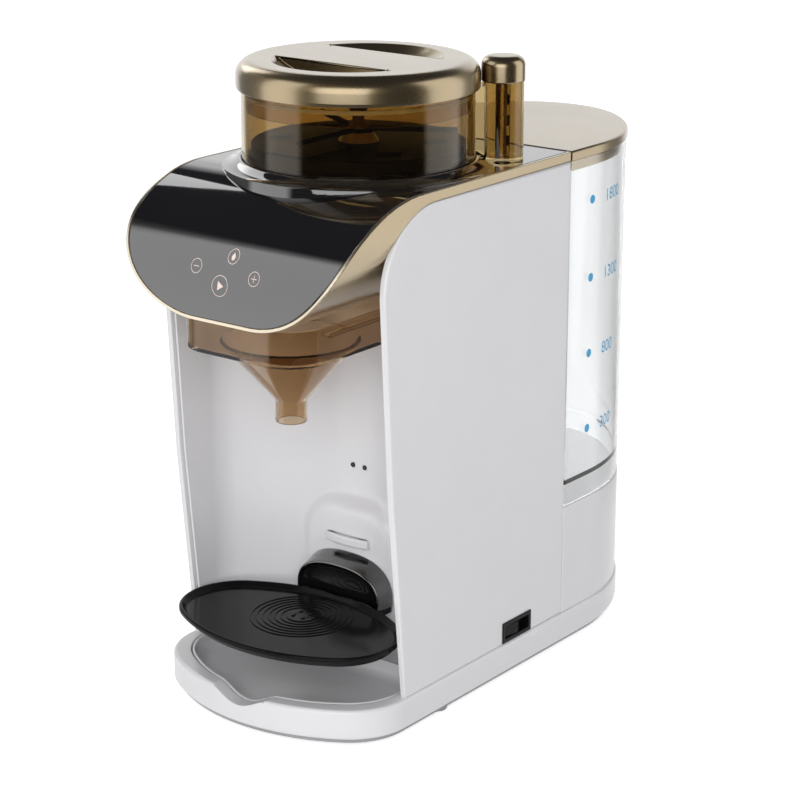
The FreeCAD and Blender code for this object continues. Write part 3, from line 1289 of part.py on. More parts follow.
def build_drive():
    """Gear motor under the deck; its dog drives the wheel's slotted hub."""
    can_top = deck_top - size.fascia_wall - size.motor_drop
    can = rod("motor_can", size.motor_radius, size.motor_height,
              (0.0, size.jar_back, can_top - size.motor_height))
    flange = rod("motor_flange", size.motor_radius - size.flange_inset, size.flange_height,
                 (0.0, size.jar_back, can_top))
    shaft_low = can_top - size.dog_height * 3
    room = rod("motor_shaft_room", size.shaft_radius + size.run_gap,
               size.flange_height + size.dog_height * 4,
               (0.0, size.jar_back, shaft_low - size.dog_height / 3))
    keep(cut("drive_motor_cut", fuse("motor_whole", can, flange), room), "drive_motor")
    shaft = rod("drive_rod", size.shaft_radius, deck_top - shaft_low,
                (0.0, size.jar_back, shaft_low))
    dog_width = size.dog_width - size.run_gap * 2
    dog = box("drive_dog", (size.shaft_radius * 2, dog_width, size.dog_height),
              (-size.shaft_radius, size.jar_back - dog_width / 2, deck_top))
    limit = rod("dog_limit", size.shaft_radius, size.dog_height * 3,
                (0.0, size.jar_back, deck_top - size.dog_height))
    keep(fuse("drive_shaft_fuse", shaft, common("dog_round", dog, limit)), "drive_shaft")
    arm_low = can_top + size.flange_height
    plate = box("bracket_plate", (size.arm_width, size.arm_depth, size.arm_wall),
                (-size.arm_width / 2, size.jar_back - size.arm_depth / 2, arm_low))
    hole = rod("bracket_hole", size.shaft_radius + size.hose_room, size.arm_wall * 3,
               (0.0, size.jar_back, arm_low - size.arm_wall))
    sides = ((-1, -size.arm_screw_side), (1, size.arm_screw_side))
    post_low = arm_low + size.arm_wall
    posts = [rod("bracket_post_%d" % sign, size.arm_post,
                 deck_top - size.fascia_wall - post_low, (x, size.jar_back, post_low))
             for sign, x in sides]
    keep(cut("motor_bracket_cut", fuse("bracket_whole", plate, *posts), hole),
         "motor_bracket")
    screws = [rod("motor_screw_%d" % sign, size.arm_screw, size.screw_head,
                  (x, size.jar_back, arm_low - size.screw_head)) for sign, x in sides]
    keep(group("motor_screw_group", screws), "motor_screws")


def build_boards():
    """Control board on the spine's pegs, and the power board on the base."""
    board_front = (size.seam_back - size.spine_wall - size.seam_gap - size.peg_length
                   - size.board_wall)
    board_low = base_top + size.main_board_rise
    board = box("main_board_plate", (size.main_board_width, size.board_wall,
                                     size.main_board_height),
                (-size.main_board_width / 2, board_front, board_low))
    chip_side = -size.chip_step * (size.chip_count - 1) / 2 - size.chip_width / 2
    chips = [box("main_chip_%d" % i, (size.chip_width, size.chip_height, size.chip_width),
                 (chip_side + size.chip_step * i, board_front - size.chip_height,
                  board_low + size.main_board_height / 2))
             for i in range(int(size.chip_count.value))]
    keep(fuse("main_board_fuse", board, *chips), "main_board")
    power_side = inner_half - size.power_board_inset
    power_front = size.seam_back - size.power_board_length - size.peg_length
    power = box("power_board_plate", (size.board_wall, size.power_board_length,
                                      size.power_board_height),
                (power_side, power_front, base_top))
    coil = box("power_coil", (size.coil_wall, size.coil_width, size.coil_width),
               (power_side - size.coil_wall, power_front + size.coil_width / 2,
                base_top + size.coil_width / 2))
    keep(fuse("power_board_fuse", power, coil), "power_board")


build_base()
build_bottom()
build_panels()
build_switch()
build_head()
build_fascia()
head_tool = head_solid("head_tool", 0.0)
build_touch_board()
build_liner(head_tool)
build_table()
build_bracket()
build_tray()
build_funnel(head_tool)
build_container()
build_wheel()
build_lid()
build_rear_housing()
build_tank()
build_tank_lid()
build_spine()
build_water_system()
build_drive()
build_boards()
doc.recompute()

for thing in doc.Objects:
    if "Invalid" in thing.State or "Error" in thing.State:
        raise RuntimeError("failed: %s %s" % (thing.Name, thing.State))
os.makedirs("parts", exist_ok=True)
for piece in pieces:
    shape = piece.Shape
    if shape.isNull() or not shape.isValid():
        raise RuntimeError("bad shape: " + piece.Label)
    shape.exportStep("parts/%s.step" % piece.Label)
    print("%-18s %2d solid %9.1f mm3" % (piece.Label, len(shape.Solids), shape.Volume))
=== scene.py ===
import json
import math

import bmesh
import bpy
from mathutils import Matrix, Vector
from mathutils.geometry import tessellate_polygon

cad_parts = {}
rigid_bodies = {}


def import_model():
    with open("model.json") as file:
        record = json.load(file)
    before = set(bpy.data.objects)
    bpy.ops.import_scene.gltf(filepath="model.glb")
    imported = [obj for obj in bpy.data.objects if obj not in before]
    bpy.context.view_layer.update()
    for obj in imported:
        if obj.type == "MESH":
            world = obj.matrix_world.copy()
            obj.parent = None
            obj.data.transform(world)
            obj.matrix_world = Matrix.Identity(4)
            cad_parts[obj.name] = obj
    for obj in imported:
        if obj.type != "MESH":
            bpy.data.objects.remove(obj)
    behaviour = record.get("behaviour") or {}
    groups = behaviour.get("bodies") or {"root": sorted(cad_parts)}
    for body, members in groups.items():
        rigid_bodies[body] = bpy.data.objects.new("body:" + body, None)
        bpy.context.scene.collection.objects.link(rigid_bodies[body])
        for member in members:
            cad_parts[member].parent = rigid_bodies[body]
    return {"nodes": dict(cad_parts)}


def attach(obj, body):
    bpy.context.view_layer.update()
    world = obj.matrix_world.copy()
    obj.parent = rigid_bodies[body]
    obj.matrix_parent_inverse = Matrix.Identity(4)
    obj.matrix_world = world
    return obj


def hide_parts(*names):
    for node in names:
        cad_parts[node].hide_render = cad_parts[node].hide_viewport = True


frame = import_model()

bl_info = {
    "name": "Baby formula maker",
    "version": (1, 0, 0),
    "blender": (4, 5, 0),
    "location": "View3D > Sidebar > Formula maker",
    "description": "Dresses the packed formula maker: shells, glass, metal, prints and studio",
    "category": "Object",
}

for leftover in [o for o in bpy.data.objects if o.name in ("Cube", "Light", "Camera")]:
    bpy.data.objects.remove(leftover)
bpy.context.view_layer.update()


# ---- sizes and colours

def length(name, description, default):
    return bpy.props.FloatProperty(name=name, description=description, default=default,
                                   min=0.0, precision=5, unit="LENGTH", subtype="DISTANCE")


def tint(name, description, default):
    return bpy.props.FloatVectorProperty(name=name, description=description, subtype="COLOR",
                                         size=4, min=0.0, max=1.0, default=default + (1.0,))


class ShellSizes(bpy.types.PropertyGroup):
    """Sizes of the white shells, about the spout's vertical axis"""
    spout_back: length("Spout set-forward", "Spout axis in front of the middle", 0.1174)
    half: length("Half width", "Middle to a side panel's outer face", 0.082)
    wall: length("Panel thickness", "Side panel from face to face", 0.004)
    base_top: length("Base top", "Worktop to the base's upper face", 0.0235)
    base_front: length("Base reach", "Spout axis to the base's front edge", 0.053)
    foot: length("Foot height", "Worktop to the base's lower edge", 0.005)
    panel_top: length("Panel top", "Worktop to the side panels' upper edge", 0.311)
    deck_top: length("Deck top", "Worktop to the black deck", 0.317)
    seam: length("Seam", "Spout axis back to the panels' rear edge", 0.162)
    edge: length("Panel edge rounding", "Radius along the panels' outer edges", 0.0014)
    lip_edge: length("Base edge rounding", "Radius along the base's upper edge", 0.0022)
    notch_half: length("Notch half width", "Middle to the end of the finger notch", 0.0215)
    notch_deep: length("Notch depth", "How far the finger notch dips", 0.0072)


class HeadSizes(bpy.types.PropertyGroup):
    """Sizes of the head and the container's lid"""
    floor: length("Head floor", "Worktop to the head's lowest line", 0.246)
    reach: length("Head reach", "Spout axis to the head's front face", 0.0592)
    crown: length("Crown radius", "First bend from the deck", 0.094)
    brow: length("Brow radius", "Second bend, into the front face", 0.0545)
    jar_back: length("Container set-back", "Spout axis to the container's axis", 0.0634)
    lid: length("Lid radius", "Container lid's outer radius", 0.0703)
    lid_low: length("Lid lower edge", "Worktop to the lid's lower edge", 0.3612)
    lid_top: length("Lid top", "Worktop to the lid's flat top", 0.3776)
    lid_edge: length("Lid edge radius", "Rounding of the lid's upper edge", 0.009)
    grip: length("Grip half width", "Lid axis to a finger pocket's straight side", 0.0245)
    scoop: length("Pocket reach", "Dish centre to a finger pocket's round side", 0.0448)
    scoop_shift: length("Pocket shift", "Lid axis to the centre of a pocket's dish", 0.0072)
    scoop_deep: length("Pocket depth", "Depth of the dish that makes the pockets", 0.014)
    mark: length("Touch mark line", "Width of the thin lines of the touch marks", 0.00030)


class FinishColours(bpy.types.PropertyGroup):
    """Colours of the finishes"""
    white: tint("Moulded white", "Moulded white shells", (0.74, 0.735, 0.75))
    gold: tint("Champagne gold", "Satin metallic coat", (0.43, 0.325, 0.17))
    black: tint("Fascia black", "Polished fascia", (0.006, 0.0055, 0.0065))
    satin: tint("Table black", "Satin black plastic", (0.006, 0.006, 0.0065))
    amber: tint("Smoky amber", "Tinted clear plastic", (0.60, 0.455, 0.225))
    clear: tint("Tank clear", "Clear plastic", (0.975, 0.985, 0.99))
    blue: tint("Print blue", "Level marks on the tank", (0.05, 0.40, 0.70))
    mark: tint("Mark pink", "Touch marks on the fascia", (0.85, 0.68, 0.62))


# Sizes that several pieces share, in metres about the spout's axis.
TRAY_DEEP = 0.0125
GAP = 0.0005             # clearance between parts that sit in each other
KNEE = 0.047             # bend in the front edge of panels and bay wall
LEAN = 2.9               # very wide bend below it
OVAL_START = 0.191       # where the straight sides turn into the rear oval
OUTLET = (0.0, 0.0184)   # container's outlet, over the powder chute
CAP_RADIUS = 0.0128      # gold cap of the tower beside the container
CIRCLE = 2 * math.pi


def shell():
    return bpy.context.scene.formula_shell


def head():
    return bpy.context.scene.formula_head


# ---- outlines and skins

def polar(radius, angle, centre=(0.0, 0.0)):
    """Point of a circle at an angle."""
    return Vector((centre[0] + radius * math.cos(angle), centre[1] + radius * math.sin(angle)))


def walk(points, bends, step=4):
    """Points of a closed outline. A bend's radius bulges to the right of the way from its
    point to the next, in steps of so many degrees."""
    dense = []
    for index, corner in enumerate(points):
        start, end = Vector(corner), Vector(points[(index + 1) % len(points)])
        if index not in bends:
            dense.append(start)
            continue
        radius = bends[index]
        chord = end - start
        half = chord.length / 2
        right = Vector((chord.y, -chord.x)).normalized()
        centre = (start + end) / 2 - right * math.sqrt(max(radius ** 2 - half ** 2, 0.0))
        spread = 2 * math.asin(min(half / radius, 1.0))
        parts = max(2, math.ceil(spread / math.radians(step)))
        first = math.atan2(start.y - centre.y, start.x - centre.x)
        dense += [centre + polar(1.0, first + spread * k / parts) * radius
                  for k in range(parts)]
    return dense


def arc(centre, radius, first, last, parts):
    """Points along an arc from one angle to another, in degrees."""
    return [polar(radius, math.radians(first + (last - first) * k / parts), centre)
            for k in range(parts + 1)]


def ring_line(radius, count=64):
    return [polar(radius, CIRCLE * k / count) for k in range(count)]


def inset(outline, distance):
    """A counter-clockwise outline moved inwards."""
    if distance == 0:
        return list(outline)
    moved = []
    for index, here in enumerate(outline):
        before = here - outline[index - 1]
        after = outline[(index + 1) % len(outline)] - here
        one = Vector((-before.y, before.x)).normalized()
        two = Vector((-after.y, after.x)).normalized()
        middle = (one + two).normalized()
        moved.append(here + middle * (distance / max(middle.dot(one), 0.3)))
    return moved


def rounded(corners, steps=6):
    """An open line through (a, b, radius) corners, with each corner rounded."""
    line = []
    for index, (a, b, radius) in enumerate(corners):
        here = Vector((a, b))
        if radius == 0 or index in (0, len(corners) - 1):
            line.append(here)
            continue
        before = (Vector(corners[index - 1][:2]) - here).normalized()
        after = (Vector(corners[index + 1][:2]) - here).normalized()
        half = before.angle(after) / 2
        centre = here + (before + after).normalized() * (radius / math.sin(half))
        start = here + before * (radius / math.tan(half)) - centre
        end = here + after * (radius / math.tan(half)) - centre
        first = math.atan2(start.y, start.x)
        turn = math.atan2(end.y, end.x) - first
        turn = (turn + math.pi) % CIRCLE - math.pi
        line += [centre + polar(1.0, first + turn * k / steps) * radius
                 for k in range(steps + 1)]
    return line


def edge_section(cover, low, top, low_edge, top_edge):
    """Section of an outer face with rounded edges, as deep as its cover."""
    return rounded([(cover, low, 0.0), (0.0, low, low_edge), (0.0, top, top_edge),
                    (cover, top, 0.0)])


def upright(point, level):
    return Vector((point.x, point.y, level))


def sideways(point, level):
    return Vector((level, point.x, point.y))


def lengthways(point, level):
    return Vector((point.x, level, point.y))


def skin(rings, bm=None, closed=False, low_cap=True, high_cap=True):
    """Quads between rings of equal count, with flat caps or closed on itself."""
    bm = bmesh.new() if bm is None else bm
    loops = [[bm.verts.new(point) for point in ring] for ring in rings]
    pairs = list(zip(loops, loops[1:]))
    if closed:
        pairs.append((loops[-1], loops[0]))
    for low, high in pairs:
        for k in range(len(low)):
            after = (k + 1) % len(low)
            bm.faces.new((low[k], low[after], high[after], high[k]))
    if low_cap and not closed:
        bm.faces.new(loops[0][::-1])
    if high_cap and not closed:
        bm.faces.new(loops[-1])
    return bm


def sweep(outline, section, place=upright):
    """The outline carried along a section of (inset, level) points."""
    return skin([[place(p, level) for p in inset(outline, depth)] for depth, level in section])


def prism(outline, low, high, place=upright):
    """A loose object with the outline at both ends."""
    return solid(sweep(outline, [(0.0, low), (0.0, high)], place))


def lathe(section, centre, count, bm=None, **caps):
    """A section of (radius, level) points turned about a vertical axis."""
    return skin([[upright(polar(radius, CIRCLE * k / count, centre), level)
                  for k in range(count)] for radius, level in section], bm, **caps)


def side_bend(half, run, tip):
    """Radius of an oval's long side that meets a round tip without a kink."""
    return (half ** 2 + run ** 2 - tip ** 2) / (2 * (half - tip))


def bowed_front(half, front, bow, corner):
    """Corners of a bowed front edge, from left to right, for walk to bend."""
    reach = bow - corner
    back = bow - front - math.sqrt(reach ** 2 - (half - corner) ** 2)
    share = bow / reach
    x, y = (half - corner) * share, bow - front - (bow - front - back) * share
    return [(-half, back), (-x, y), (x, y), (half, back)]


def rear_oval(half, front, rear=0.293, tip=0.060):
    """Outline that housing, tank and tank lid share, and its bends."""
    run = rear - tip - OVAL_START
    side = side_bend(half, run, tip)
    share = side / (side - tip)
    x, y = half - side + (side - half) * share, OVAL_START + run * share
    points = [(-half, front), (half, front), (half, OVAL_START), (x, y), (0, rear), (-x, y),
              (-half, OVAL_START)]
    return points, {2: side, 3: tip, 4: tip, 5: side}


# ---- pieces

def clean(bm):
    bmesh.ops.remove_doubles(bm, verts=bm.verts, dist=2e-6)
    bmesh.ops.recalc_face_normals(bm, faces=bm.faces)


def used_up(bm, name):
    """A mesh from a bmesh, which is freed."""
    mesh = bpy.data.meshes.new(name)
    bm.to_mesh(mesh)
    bm.free()
    return mesh


def placed(name, data):
    """A new object in the scene."""
    made = bpy.data.objects.new(name, data)
    bpy.context.scene.collection.objects.link(made)
    return made


def seen_mesh(body):
    """The mesh of an object with its modifiers applied, or of a text."""
    bpy.context.view_layer.update()
    return bpy.data.meshes.new_from_object(
        body.evaluated_get(bpy.context.evaluated_depsgraph_get()))


def make(name, shape, look, body, *nodes, **edges):
    """Turns a bmesh or a loose object into a named piece that rides on a body and stands
    for CAD nodes."""
    bm = release(shape) if isinstance(shape, bpy.types.Object) else shape
    clean(bm)
    bmesh.ops.translate(bm, verts=bm.verts, vec=(0.0, -shell().spout_back, 0.0))
    return finish_piece(name, used_up(bm, name), look, body, nodes, **edges)


def finish_piece(name, mesh, look, body, nodes=(), bevel=0.0, limit=32, steps=3):
    mesh.shade_smooth()
    mesh.set_sharp_from_angle(angle=math.radians(50))
    piece = placed(name, mesh)
    mesh.materials.clear()
    mesh.materials.append(finish(look))
    if bevel:
        soften(piece, bevel, limit, steps)
    piece.modifiers.new("Even shading", "WEIGHTED_NORMAL").keep_sharp = True
    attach(piece, body)
    if nodes:
        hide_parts(*nodes)
    return piece


def soften(piece, width, limit, steps=3):
    bevel = piece.modifiers.new("Soft edges", "BEVEL")
    bevel.width = width
    bevel.segments = steps
    bevel.limit_method = "ANGLE"
    bevel.angle_limit = math.radians(limit)
    bevel.harden_normals = False
    bevel.use_clamp_overlap = False


def solid(bm):
    """A loose object from a mesh, for joining and cutting."""
    clean(bm)
    return placed("loose", used_up(bm, "loose"))


def combined(body, others, operation="DIFFERENCE"):
    """The body after exact cuts, unions or overlaps with others, which are used up."""
    for other in others:
        step = body.modifiers.new("step", "BOOLEAN")
        step.object = other
        step.operation = operation
        step.solver = "EXACT"
        result = seen_mesh(body)
        body.modifiers.clear()
        body.data = result
        bpy.data.objects.remove(other)
    return body


def release(body):
    """The mesh as bmesh with its many-sided faces split, and the loose object is gone."""
    bm = bmesh.new()
    bm.from_mesh(body.data)
    bmesh.ops.triangulate(bm, faces=[face for face in bm.faces if len(face.verts) > 4])
    bpy.data.objects.remove(body)
    return bm


def block(low, high):
    """A box between two corners."""
    outline = [Vector(low[:2]), Vector((high[0], low[1])), Vector(high[:2]),
               Vector((low[0], high[1]))]
    return prism(outline, low[2], high[2])


def rod(radius, centre, low, high, count=64):
    """An upright round rod."""
    return solid(lathe([(radius, low), (radius, high)], centre, count))


# ---- finishes

class Wiring:
    """Short ways to add and join shader nodes in one tree."""

    def __init__(self, tree):
        self.tree = tree

    def node(self, kind, sockets=None, **settings):
        made = self.tree.nodes.new(kind)
        for setting, value in settings.items():
            setattr(made, setting, value)
        for socket, value in (sockets or {}).items():
            self.put(made.inputs[socket], value)
        return made

    def put(self, socket, value):
        if isinstance(value, bpy.types.NodeSocket):
            self.tree.links.new(value, socket)
        else:
            socket.default_value = value

    def math(self, operation, first, second=0.0, third=0.0):
        made = self.node("ShaderNodeMath", {0: first, 1: second, 2: third}, operation=operation)
        return made.outputs[0]

    def vector(self, operation, sockets, output="Value"):
        return self.node("ShaderNodeVectorMath", sockets, operation=operation).outputs[output]

    def scaled(self, colour, factor):
        return self.vector("SCALE", {0: colour, "Scale": factor}, 0)

    def place(self):
        return self.node("ShaderNodeTexCoord").outputs["Object"]

    def noise(self, place, scale, detail=2.0, rough=0.5):
        return self.node("ShaderNodeTexNoise", {"Vector": place, "Scale": scale,
                                                "Detail": detail, "Roughness": rough}).outputs[0]

    def ramp(self, value, low, high, to_low=0.0, to_high=1.0):
        return self.node("ShaderNodeMapRange", {"Value": value, "From Min": low, "From Max": high,
                                                "To Min": to_low, "To Max": to_high}).outputs[0]

    def mix(self, share, first, second):
        made = self.node("ShaderNodeMix", {0: share}, data_type="RGBA")
        self.put(made.inputs[6], first)
        self.put(made.inputs[7], second)
        return made.outputs[2]

    def light_path(self):
        return self.node("ShaderNodeLightPath").outputs


def build_moulded(wire, given, out):
    """Moulded plastic: faint flow marks in the colour, fine grain, smudged gloss."""
    place = wire.place()
    flow = wire.noise(place, given["Flow scale"], 3.0)
    fine = wire.noise(place, given["Grain scale"], 2.0, 0.6)
    smudge = wire.noise(place, 21.0, 5.0, 0.62)
    drift = wire.ramp(flow, 0.3, 0.7, -1.0, 1.0)
    light = wire.math("MULTIPLY_ADD", drift, given["Colour drift"], 1.0)
    wire.put(out["Colour"], wire.scaled(given["Colour"], light))
    spread = wire.math("MULTIPLY", wire.ramp(smudge, 0.35, 0.75), given["Smudge"])
    wire.put(out["Roughness"], wire.math("ADD", given["Roughness"], spread))
    wire.put(out["Height"], wire.math("MULTIPLY_ADD", flow, 2.5, fine))


def build_flake(wire, given, out):
    """Metallic coat: fine flake in colour and gloss, with soft handling marks."""
    place = wire.place()
    cells = wire.node("ShaderNodeTexVoronoi", {"Vector": place, "Scale": given["Flake scale"]})
    flake = wire.node("ShaderNodeSeparateColor", {0: cells.outputs["Color"]}).outputs[0]
    flow = wire.noise(place, 26.0, 4.0, 0.6)
    light = wire.math("MULTIPLY_ADD", wire.math("SUBTRACT", flake, 0.5), given["Flake"], 1.0)
    drift = wire.math("MULTIPLY_ADD", wire.math("SUBTRACT", flow, 0.5), given["Drift"], light)
    wire.put(out["Colour"], wire.scaled(given["Colour"], drift))
    wire.put(out["Roughness"], wire.math("MULTIPLY_ADD", wire.ramp(flow, 0.35, 0.7),
                                         given["Smudge"], given["Roughness"]))
    wire.put(out["Height"], wire.math("MULTIPLY_ADD", flow, 1.5, flake))


def build_dust(wire, given, out):
    """Dust that settles on faces that look up, thicker in patches."""
    place = wire.place()
    normal = wire.node("ShaderNodeNewGeometry").outputs["Normal"]
    up = wire.node("ShaderNodeSeparateXYZ", {0: normal}).outputs[2]
    specks = wire.ramp(wire.noise(place, given["Speck scale"], 6.0, 0.75), 0.56, 0.74)
    patch = wire.ramp(wire.noise(place, 13.0, 3.0), 0.4, 0.7, 0.25, 1.0)
    level = wire.math("MULTIPLY", wire.ramp(up, 0.35, 1.0), wire.math("MULTIPLY", specks, patch))
    amount = wire.math("MULTIPLY", level, given["Amount"])
    wire.put(out["Colour"], wire.mix(amount, given["Colour"], (0.62, 0.6, 0.58, 1.0)))
    wire.put(out["Roughness"], wire.math("MULTIPLY_ADD", amount, 0.5, given["Roughness"]))


# Each shared effect: how it is built, its inputs after the colour, its outputs.
MOULDED, FLAKE, DUST = "Moulded plastic", "Metallic coat", "Settled dust"
EFFECTS = {
    MOULDED: (build_moulded, {"Colour drift": 0.02, "Flow scale": 30.0, "Grain scale": 1400.0,
                              "Roughness": 0.3, "Smudge": 0.06},
              ("Colour", "Roughness", "Height")),
    FLAKE: (build_flake, {"Flake": 0.08, "Drift": 0.05, "Flake scale": 4200.0,
                          "Roughness": 0.25, "Smudge": 0.05},
            ("Colour", "Roughness", "Height")),
    DUST: (build_dust, {"Roughness": 0.3, "Amount": 0.1, "Speck scale": 900.0},
           ("Colour", "Roughness")),
}


def effect(name):
    """A shader node group, built once and shared by the materials."""
    if name in bpy.data.node_groups:
        return bpy.data.node_groups[name]
    build, inputs, outputs = EFFECTS[name]
    group = bpy.data.node_groups.new(name, "ShaderNodeTree")
    group.interface.new_socket("Colour", in_out="INPUT", socket_type="NodeSocketColor")
    for label, default in inputs.items():
        socket = group.interface.new_socket(label, in_out="INPUT", socket_type="NodeSocketFloat")
        socket.default_value = default
    for label in outputs:
        kind = "NodeSocketColor" if label == "Colour" else "NodeSocketFloat"
        group.interface.new_socket(label, in_out="OUTPUT", socket_type=kind)
    build(Wiring(group), group.nodes.new("NodeGroupInput").outputs,
          group.nodes.new("NodeGroupOutput").inputs)
    return group


def moulded(colour, drift, rough, smudge, dust, relief, grain=1400.0, **own):
    """A plastic: its colour or colour setting, the effect's values, dust, height of the
    relief in micrometres, then the shader's own values."""
    return (MOULDED, colour, {"Colour drift": drift, "Grain scale": grain,
                              "Roughness": rough, "Smudge": smudge}, dust, relief, own)


def metallic(colour, drift, flake, size, rough, smudge, relief, **own):
    """A metal or a metallic coat, in the same way."""
    return (FLAKE, colour, {"Flake": flake, "Drift": drift, "Flake scale": size,
                            "Roughness": rough, "Smudge": smudge}, 0.0, relief,
            {"Metallic": 1.0, **own})


FINISHES = {
    "Moulded white": moulded("white", 0.012, 0.22, 0.06, 0.04, 6, IOR=1.5,
                             Coat_Weight=0.35, Coat_Roughness=0.08),
    "Fascia black": moulded("black", 0.1, 0.035, 0.03, 0.03, 1.5, IOR=2.1,
                            Coat_Weight=1.0, Coat_Roughness=0.02),
    "Table black": moulded("satin", 0.15, 0.13, 0.05, 0.01, 3, 1900.0, IOR=1.21),
    "Bracket black": moulded("satin", 0.1, 0.07, 0.03, 0.01, 1, IOR=2.1,
                             Coat_Weight=1.0, Coat_Roughness=0.03),
    "Smoky amber": moulded("amber", 0.03, 0.01, 0.025, 0.0, 2, IOR=1.25,
                           Transmission_Weight=1.0, Coat_Weight=0.7, Coat_Roughness=0.02),
    "Funnel amber": moulded((0.71, 0.55, 0.38), 0.03, 0.015, 0.03, 0.0, 2, IOR=1.12,
                            Transmission_Weight=1.0, Coat_Weight=0.9, Coat_Roughness=0.03),
    "Tank clear": moulded("clear", 0.01, 0.008, 0.02, 0.0, 2, IOR=1.12,
                          Transmission_Weight=1.0, Coat_Weight=1.0, Coat_Roughness=0.01),
    "Wheel brown": moulded((0.012, 0.008, 0.006), 0.1, 0.5, 0.06, 0.0, 6,
                           Specular_IOR_Level=0.08),
    "Mark pink": moulded("mark", 0.06, 0.35, 0.1, 0.0, 4, 5200.0),
    "Print blue": moulded("blue", 0.06, 0.35, 0.1, 0.0, 4, 5200.0),
    "Champagne coat": metallic("gold", 0.05, 0.05, 4200.0, 0.27, 0.05, 1.2,
                               Coat_Weight=1.0, Coat_Roughness=0.16, Coat_IOR=1.8),
    # a lighter lit copy of the champagne gold: a painted highlight on the head band's forward and
    # upward faces
    "Painted highlight gold": metallic((0.86, 0.76, 0.57), 0.05, 0.06, 4200.0, 0.30, 0.04, 3,
                           Coat_Weight=1.0, Coat_Roughness=0.2, Coat_IOR=1.8),
}
for plain, colour, rough in (
        ("Post amber", (0.30, 0.19, 0.075), 0.25), ("Inner plastic", (0.33, 0.33, 0.34), 0.42),
        ("Silicone", (0.62, 0.61, 0.60), 0.5), ("Board green", (0.02, 0.13, 0.05), 0.35),
        ("Lens dark", (0.012, 0.008, 0.012), 0.08), ("Foot rubber", (0.30, 0.30, 0.31), 0.6)):
    FINISHES[plain] = moulded(colour, 0.05, rough, 0.08, 0.05, 10)
for bare, colour, rough in (("Steel", (0.55, 0.55, 0.56), 0.3),
                            ("Black screws", (0.02, 0.02, 0.021), 0.35)):
    FINISHES[bare] = metallic(colour, 0.1, 0.05, 2500.0, rough, 0.12, 4)
MICRO = 1e-6        # micrometres, for the relief
LAMP_PASS = 0.85    # share of lamp light that the clear tank lets straight through


def finish(name):
    """A material whose colour, gloss and relief come from a shared effect, with the
    constant numbers on the shader's own sockets."""
    if name in bpy.data.materials:
        return bpy.data.materials[name]
    group, colour, values, dust, relief, own = FINISHES[name]
    if isinstance(colour, str):
        colour = getattr(bpy.context.scene.formula_colours, colour)
    else:
        colour += (1.0,)
    made = bpy.data.materials.new(name)
    made.use_nodes = True
    wire = Wiring(made.node_tree)
    principled = made.node_tree.nodes["Principled BSDF"].inputs
    source = wire.node("ShaderNodeGroup", node_tree=effect(group))
    for label, value in {"Colour": colour, **values}.items():
        wire.put(source.inputs[label], value)
    last = source.outputs
    if dust:
        settled = wire.node("ShaderNodeGroup", node_tree=effect(DUST))
        for label, value in (("Colour", last["Colour"]), ("Roughness", last["Roughness"]),
                             ("Amount", dust)):
            wire.put(settled.inputs[label], value)
        last = settled.outputs
    wire.put(principled["Base Color"], last["Colour"])
    wire.put(principled["Roughness"], last["Roughness"])
    bump = wire.node("ShaderNodeBump", {"Strength": 1.0, "Distance": relief * MICRO,
                                        "Height": source.outputs["Height"]})
    wire.put(principled["Normal"], bump.outputs[0])
    for socket, value in own.items():
        principled[socket.replace("_", " ")].default_value = value
    if name == "Tank clear":
        path = wire.light_path()
        passing = wire.math("MAXIMUM", path["Is Shadow Ray"], path["Is Diffuse Ray"])
        wire.put(principled["Alpha"], wire.math("MULTIPLY_ADD", passing, -LAMP_PASS, 1.0))
    return made


# ---- white shells

def lean_outline():
    """Side panel seen from the side, as (y, z)."""
    top, low, seam = shell().panel_top, shell().base_top, shell().seam
    return walk([(seam, low), (seam, top), (0.0296, top), (-0.0174, top - KNEE),
                 (0.0014, low)], {2: KNEE, 3: LEAN})


def build_panel(sign, holes):
    """One side panel with its outer edges rounded; holes are cut right through."""
    size = shell()
    section = edge_section(0.006, size.half - size.wall, size.half, 0.0005, size.edge)
    bm = release(combined(solid(sweep(lean_outline(), section, sideways)), holes))
    bmesh.ops.scale(bm, verts=bm.verts, vec=(sign, 1.0, 1.0))
    return bm


class SidePanels(bpy.types.Operator):
    """White side panels with rounded edges and the opening for the switch"""
    bl_idname = "formula.side_panels"
    bl_label = "Side panels"

    def execute(self, context):
        switch = block((0.070, 0.0989, 0.0259), (0.09, 0.1257, 0.0360))
        for side, sign, holes in (("right", 1.0, [switch]), ("left", -1.0, [])):
            make(side + "_panel_shell", build_panel(sign, holes), "Moulded white", "body",
                 side + "_side_panel")
        return {"FINISHED"}


def base_outline():
    """The base's plan: the bowed front, straight sides and the rear oval."""
    half, bow, corner = shell().half + 0.001, 0.120, 0.040
    oval, bends = rear_oval(half, 0.0, 0.294, 0.061)
    arcs = {0: corner, 1: bow, 2: corner}
    arcs.update({index + 2: radius for index, radius in bends.items()})
    return walk(bowed_front(half, shell().base_front, bow, corner) + oval[2:], arcs, 3)


def tray_outline(inward):
    half, front, bow, corner, turn, back = (
        size - inward for size in (0.074, 0.044, 0.100, 0.037, 0.022, 0.038))
    points = bowed_front(half, front, bow, corner) + [
        (half, back - turn), (half - turn, back), (turn - half, back), (-half, back - turn)]
    return walk(points, {0: corner, 1: bow, 2: corner, 4: turn, 6: turn}, 3)


def notch_cutter():
    """Smooth dip across the front edge, for the finger that lifts the tray."""
    half, top = shell().notch_half, shell().base_top
    line = []
    for k in range(33):
        share = -1 + k / 16
        drop = shell().notch_deep * (0.5 + 0.5 * math.cos(math.pi * share)) ** 0.7
        line.append(Vector((share * half, top + 0.0002 - drop)))
    line += [Vector((half, top + 0.01)), Vector((-half, top + 0.01))]
    return prism(line, -0.08, -0.030, lengthways)


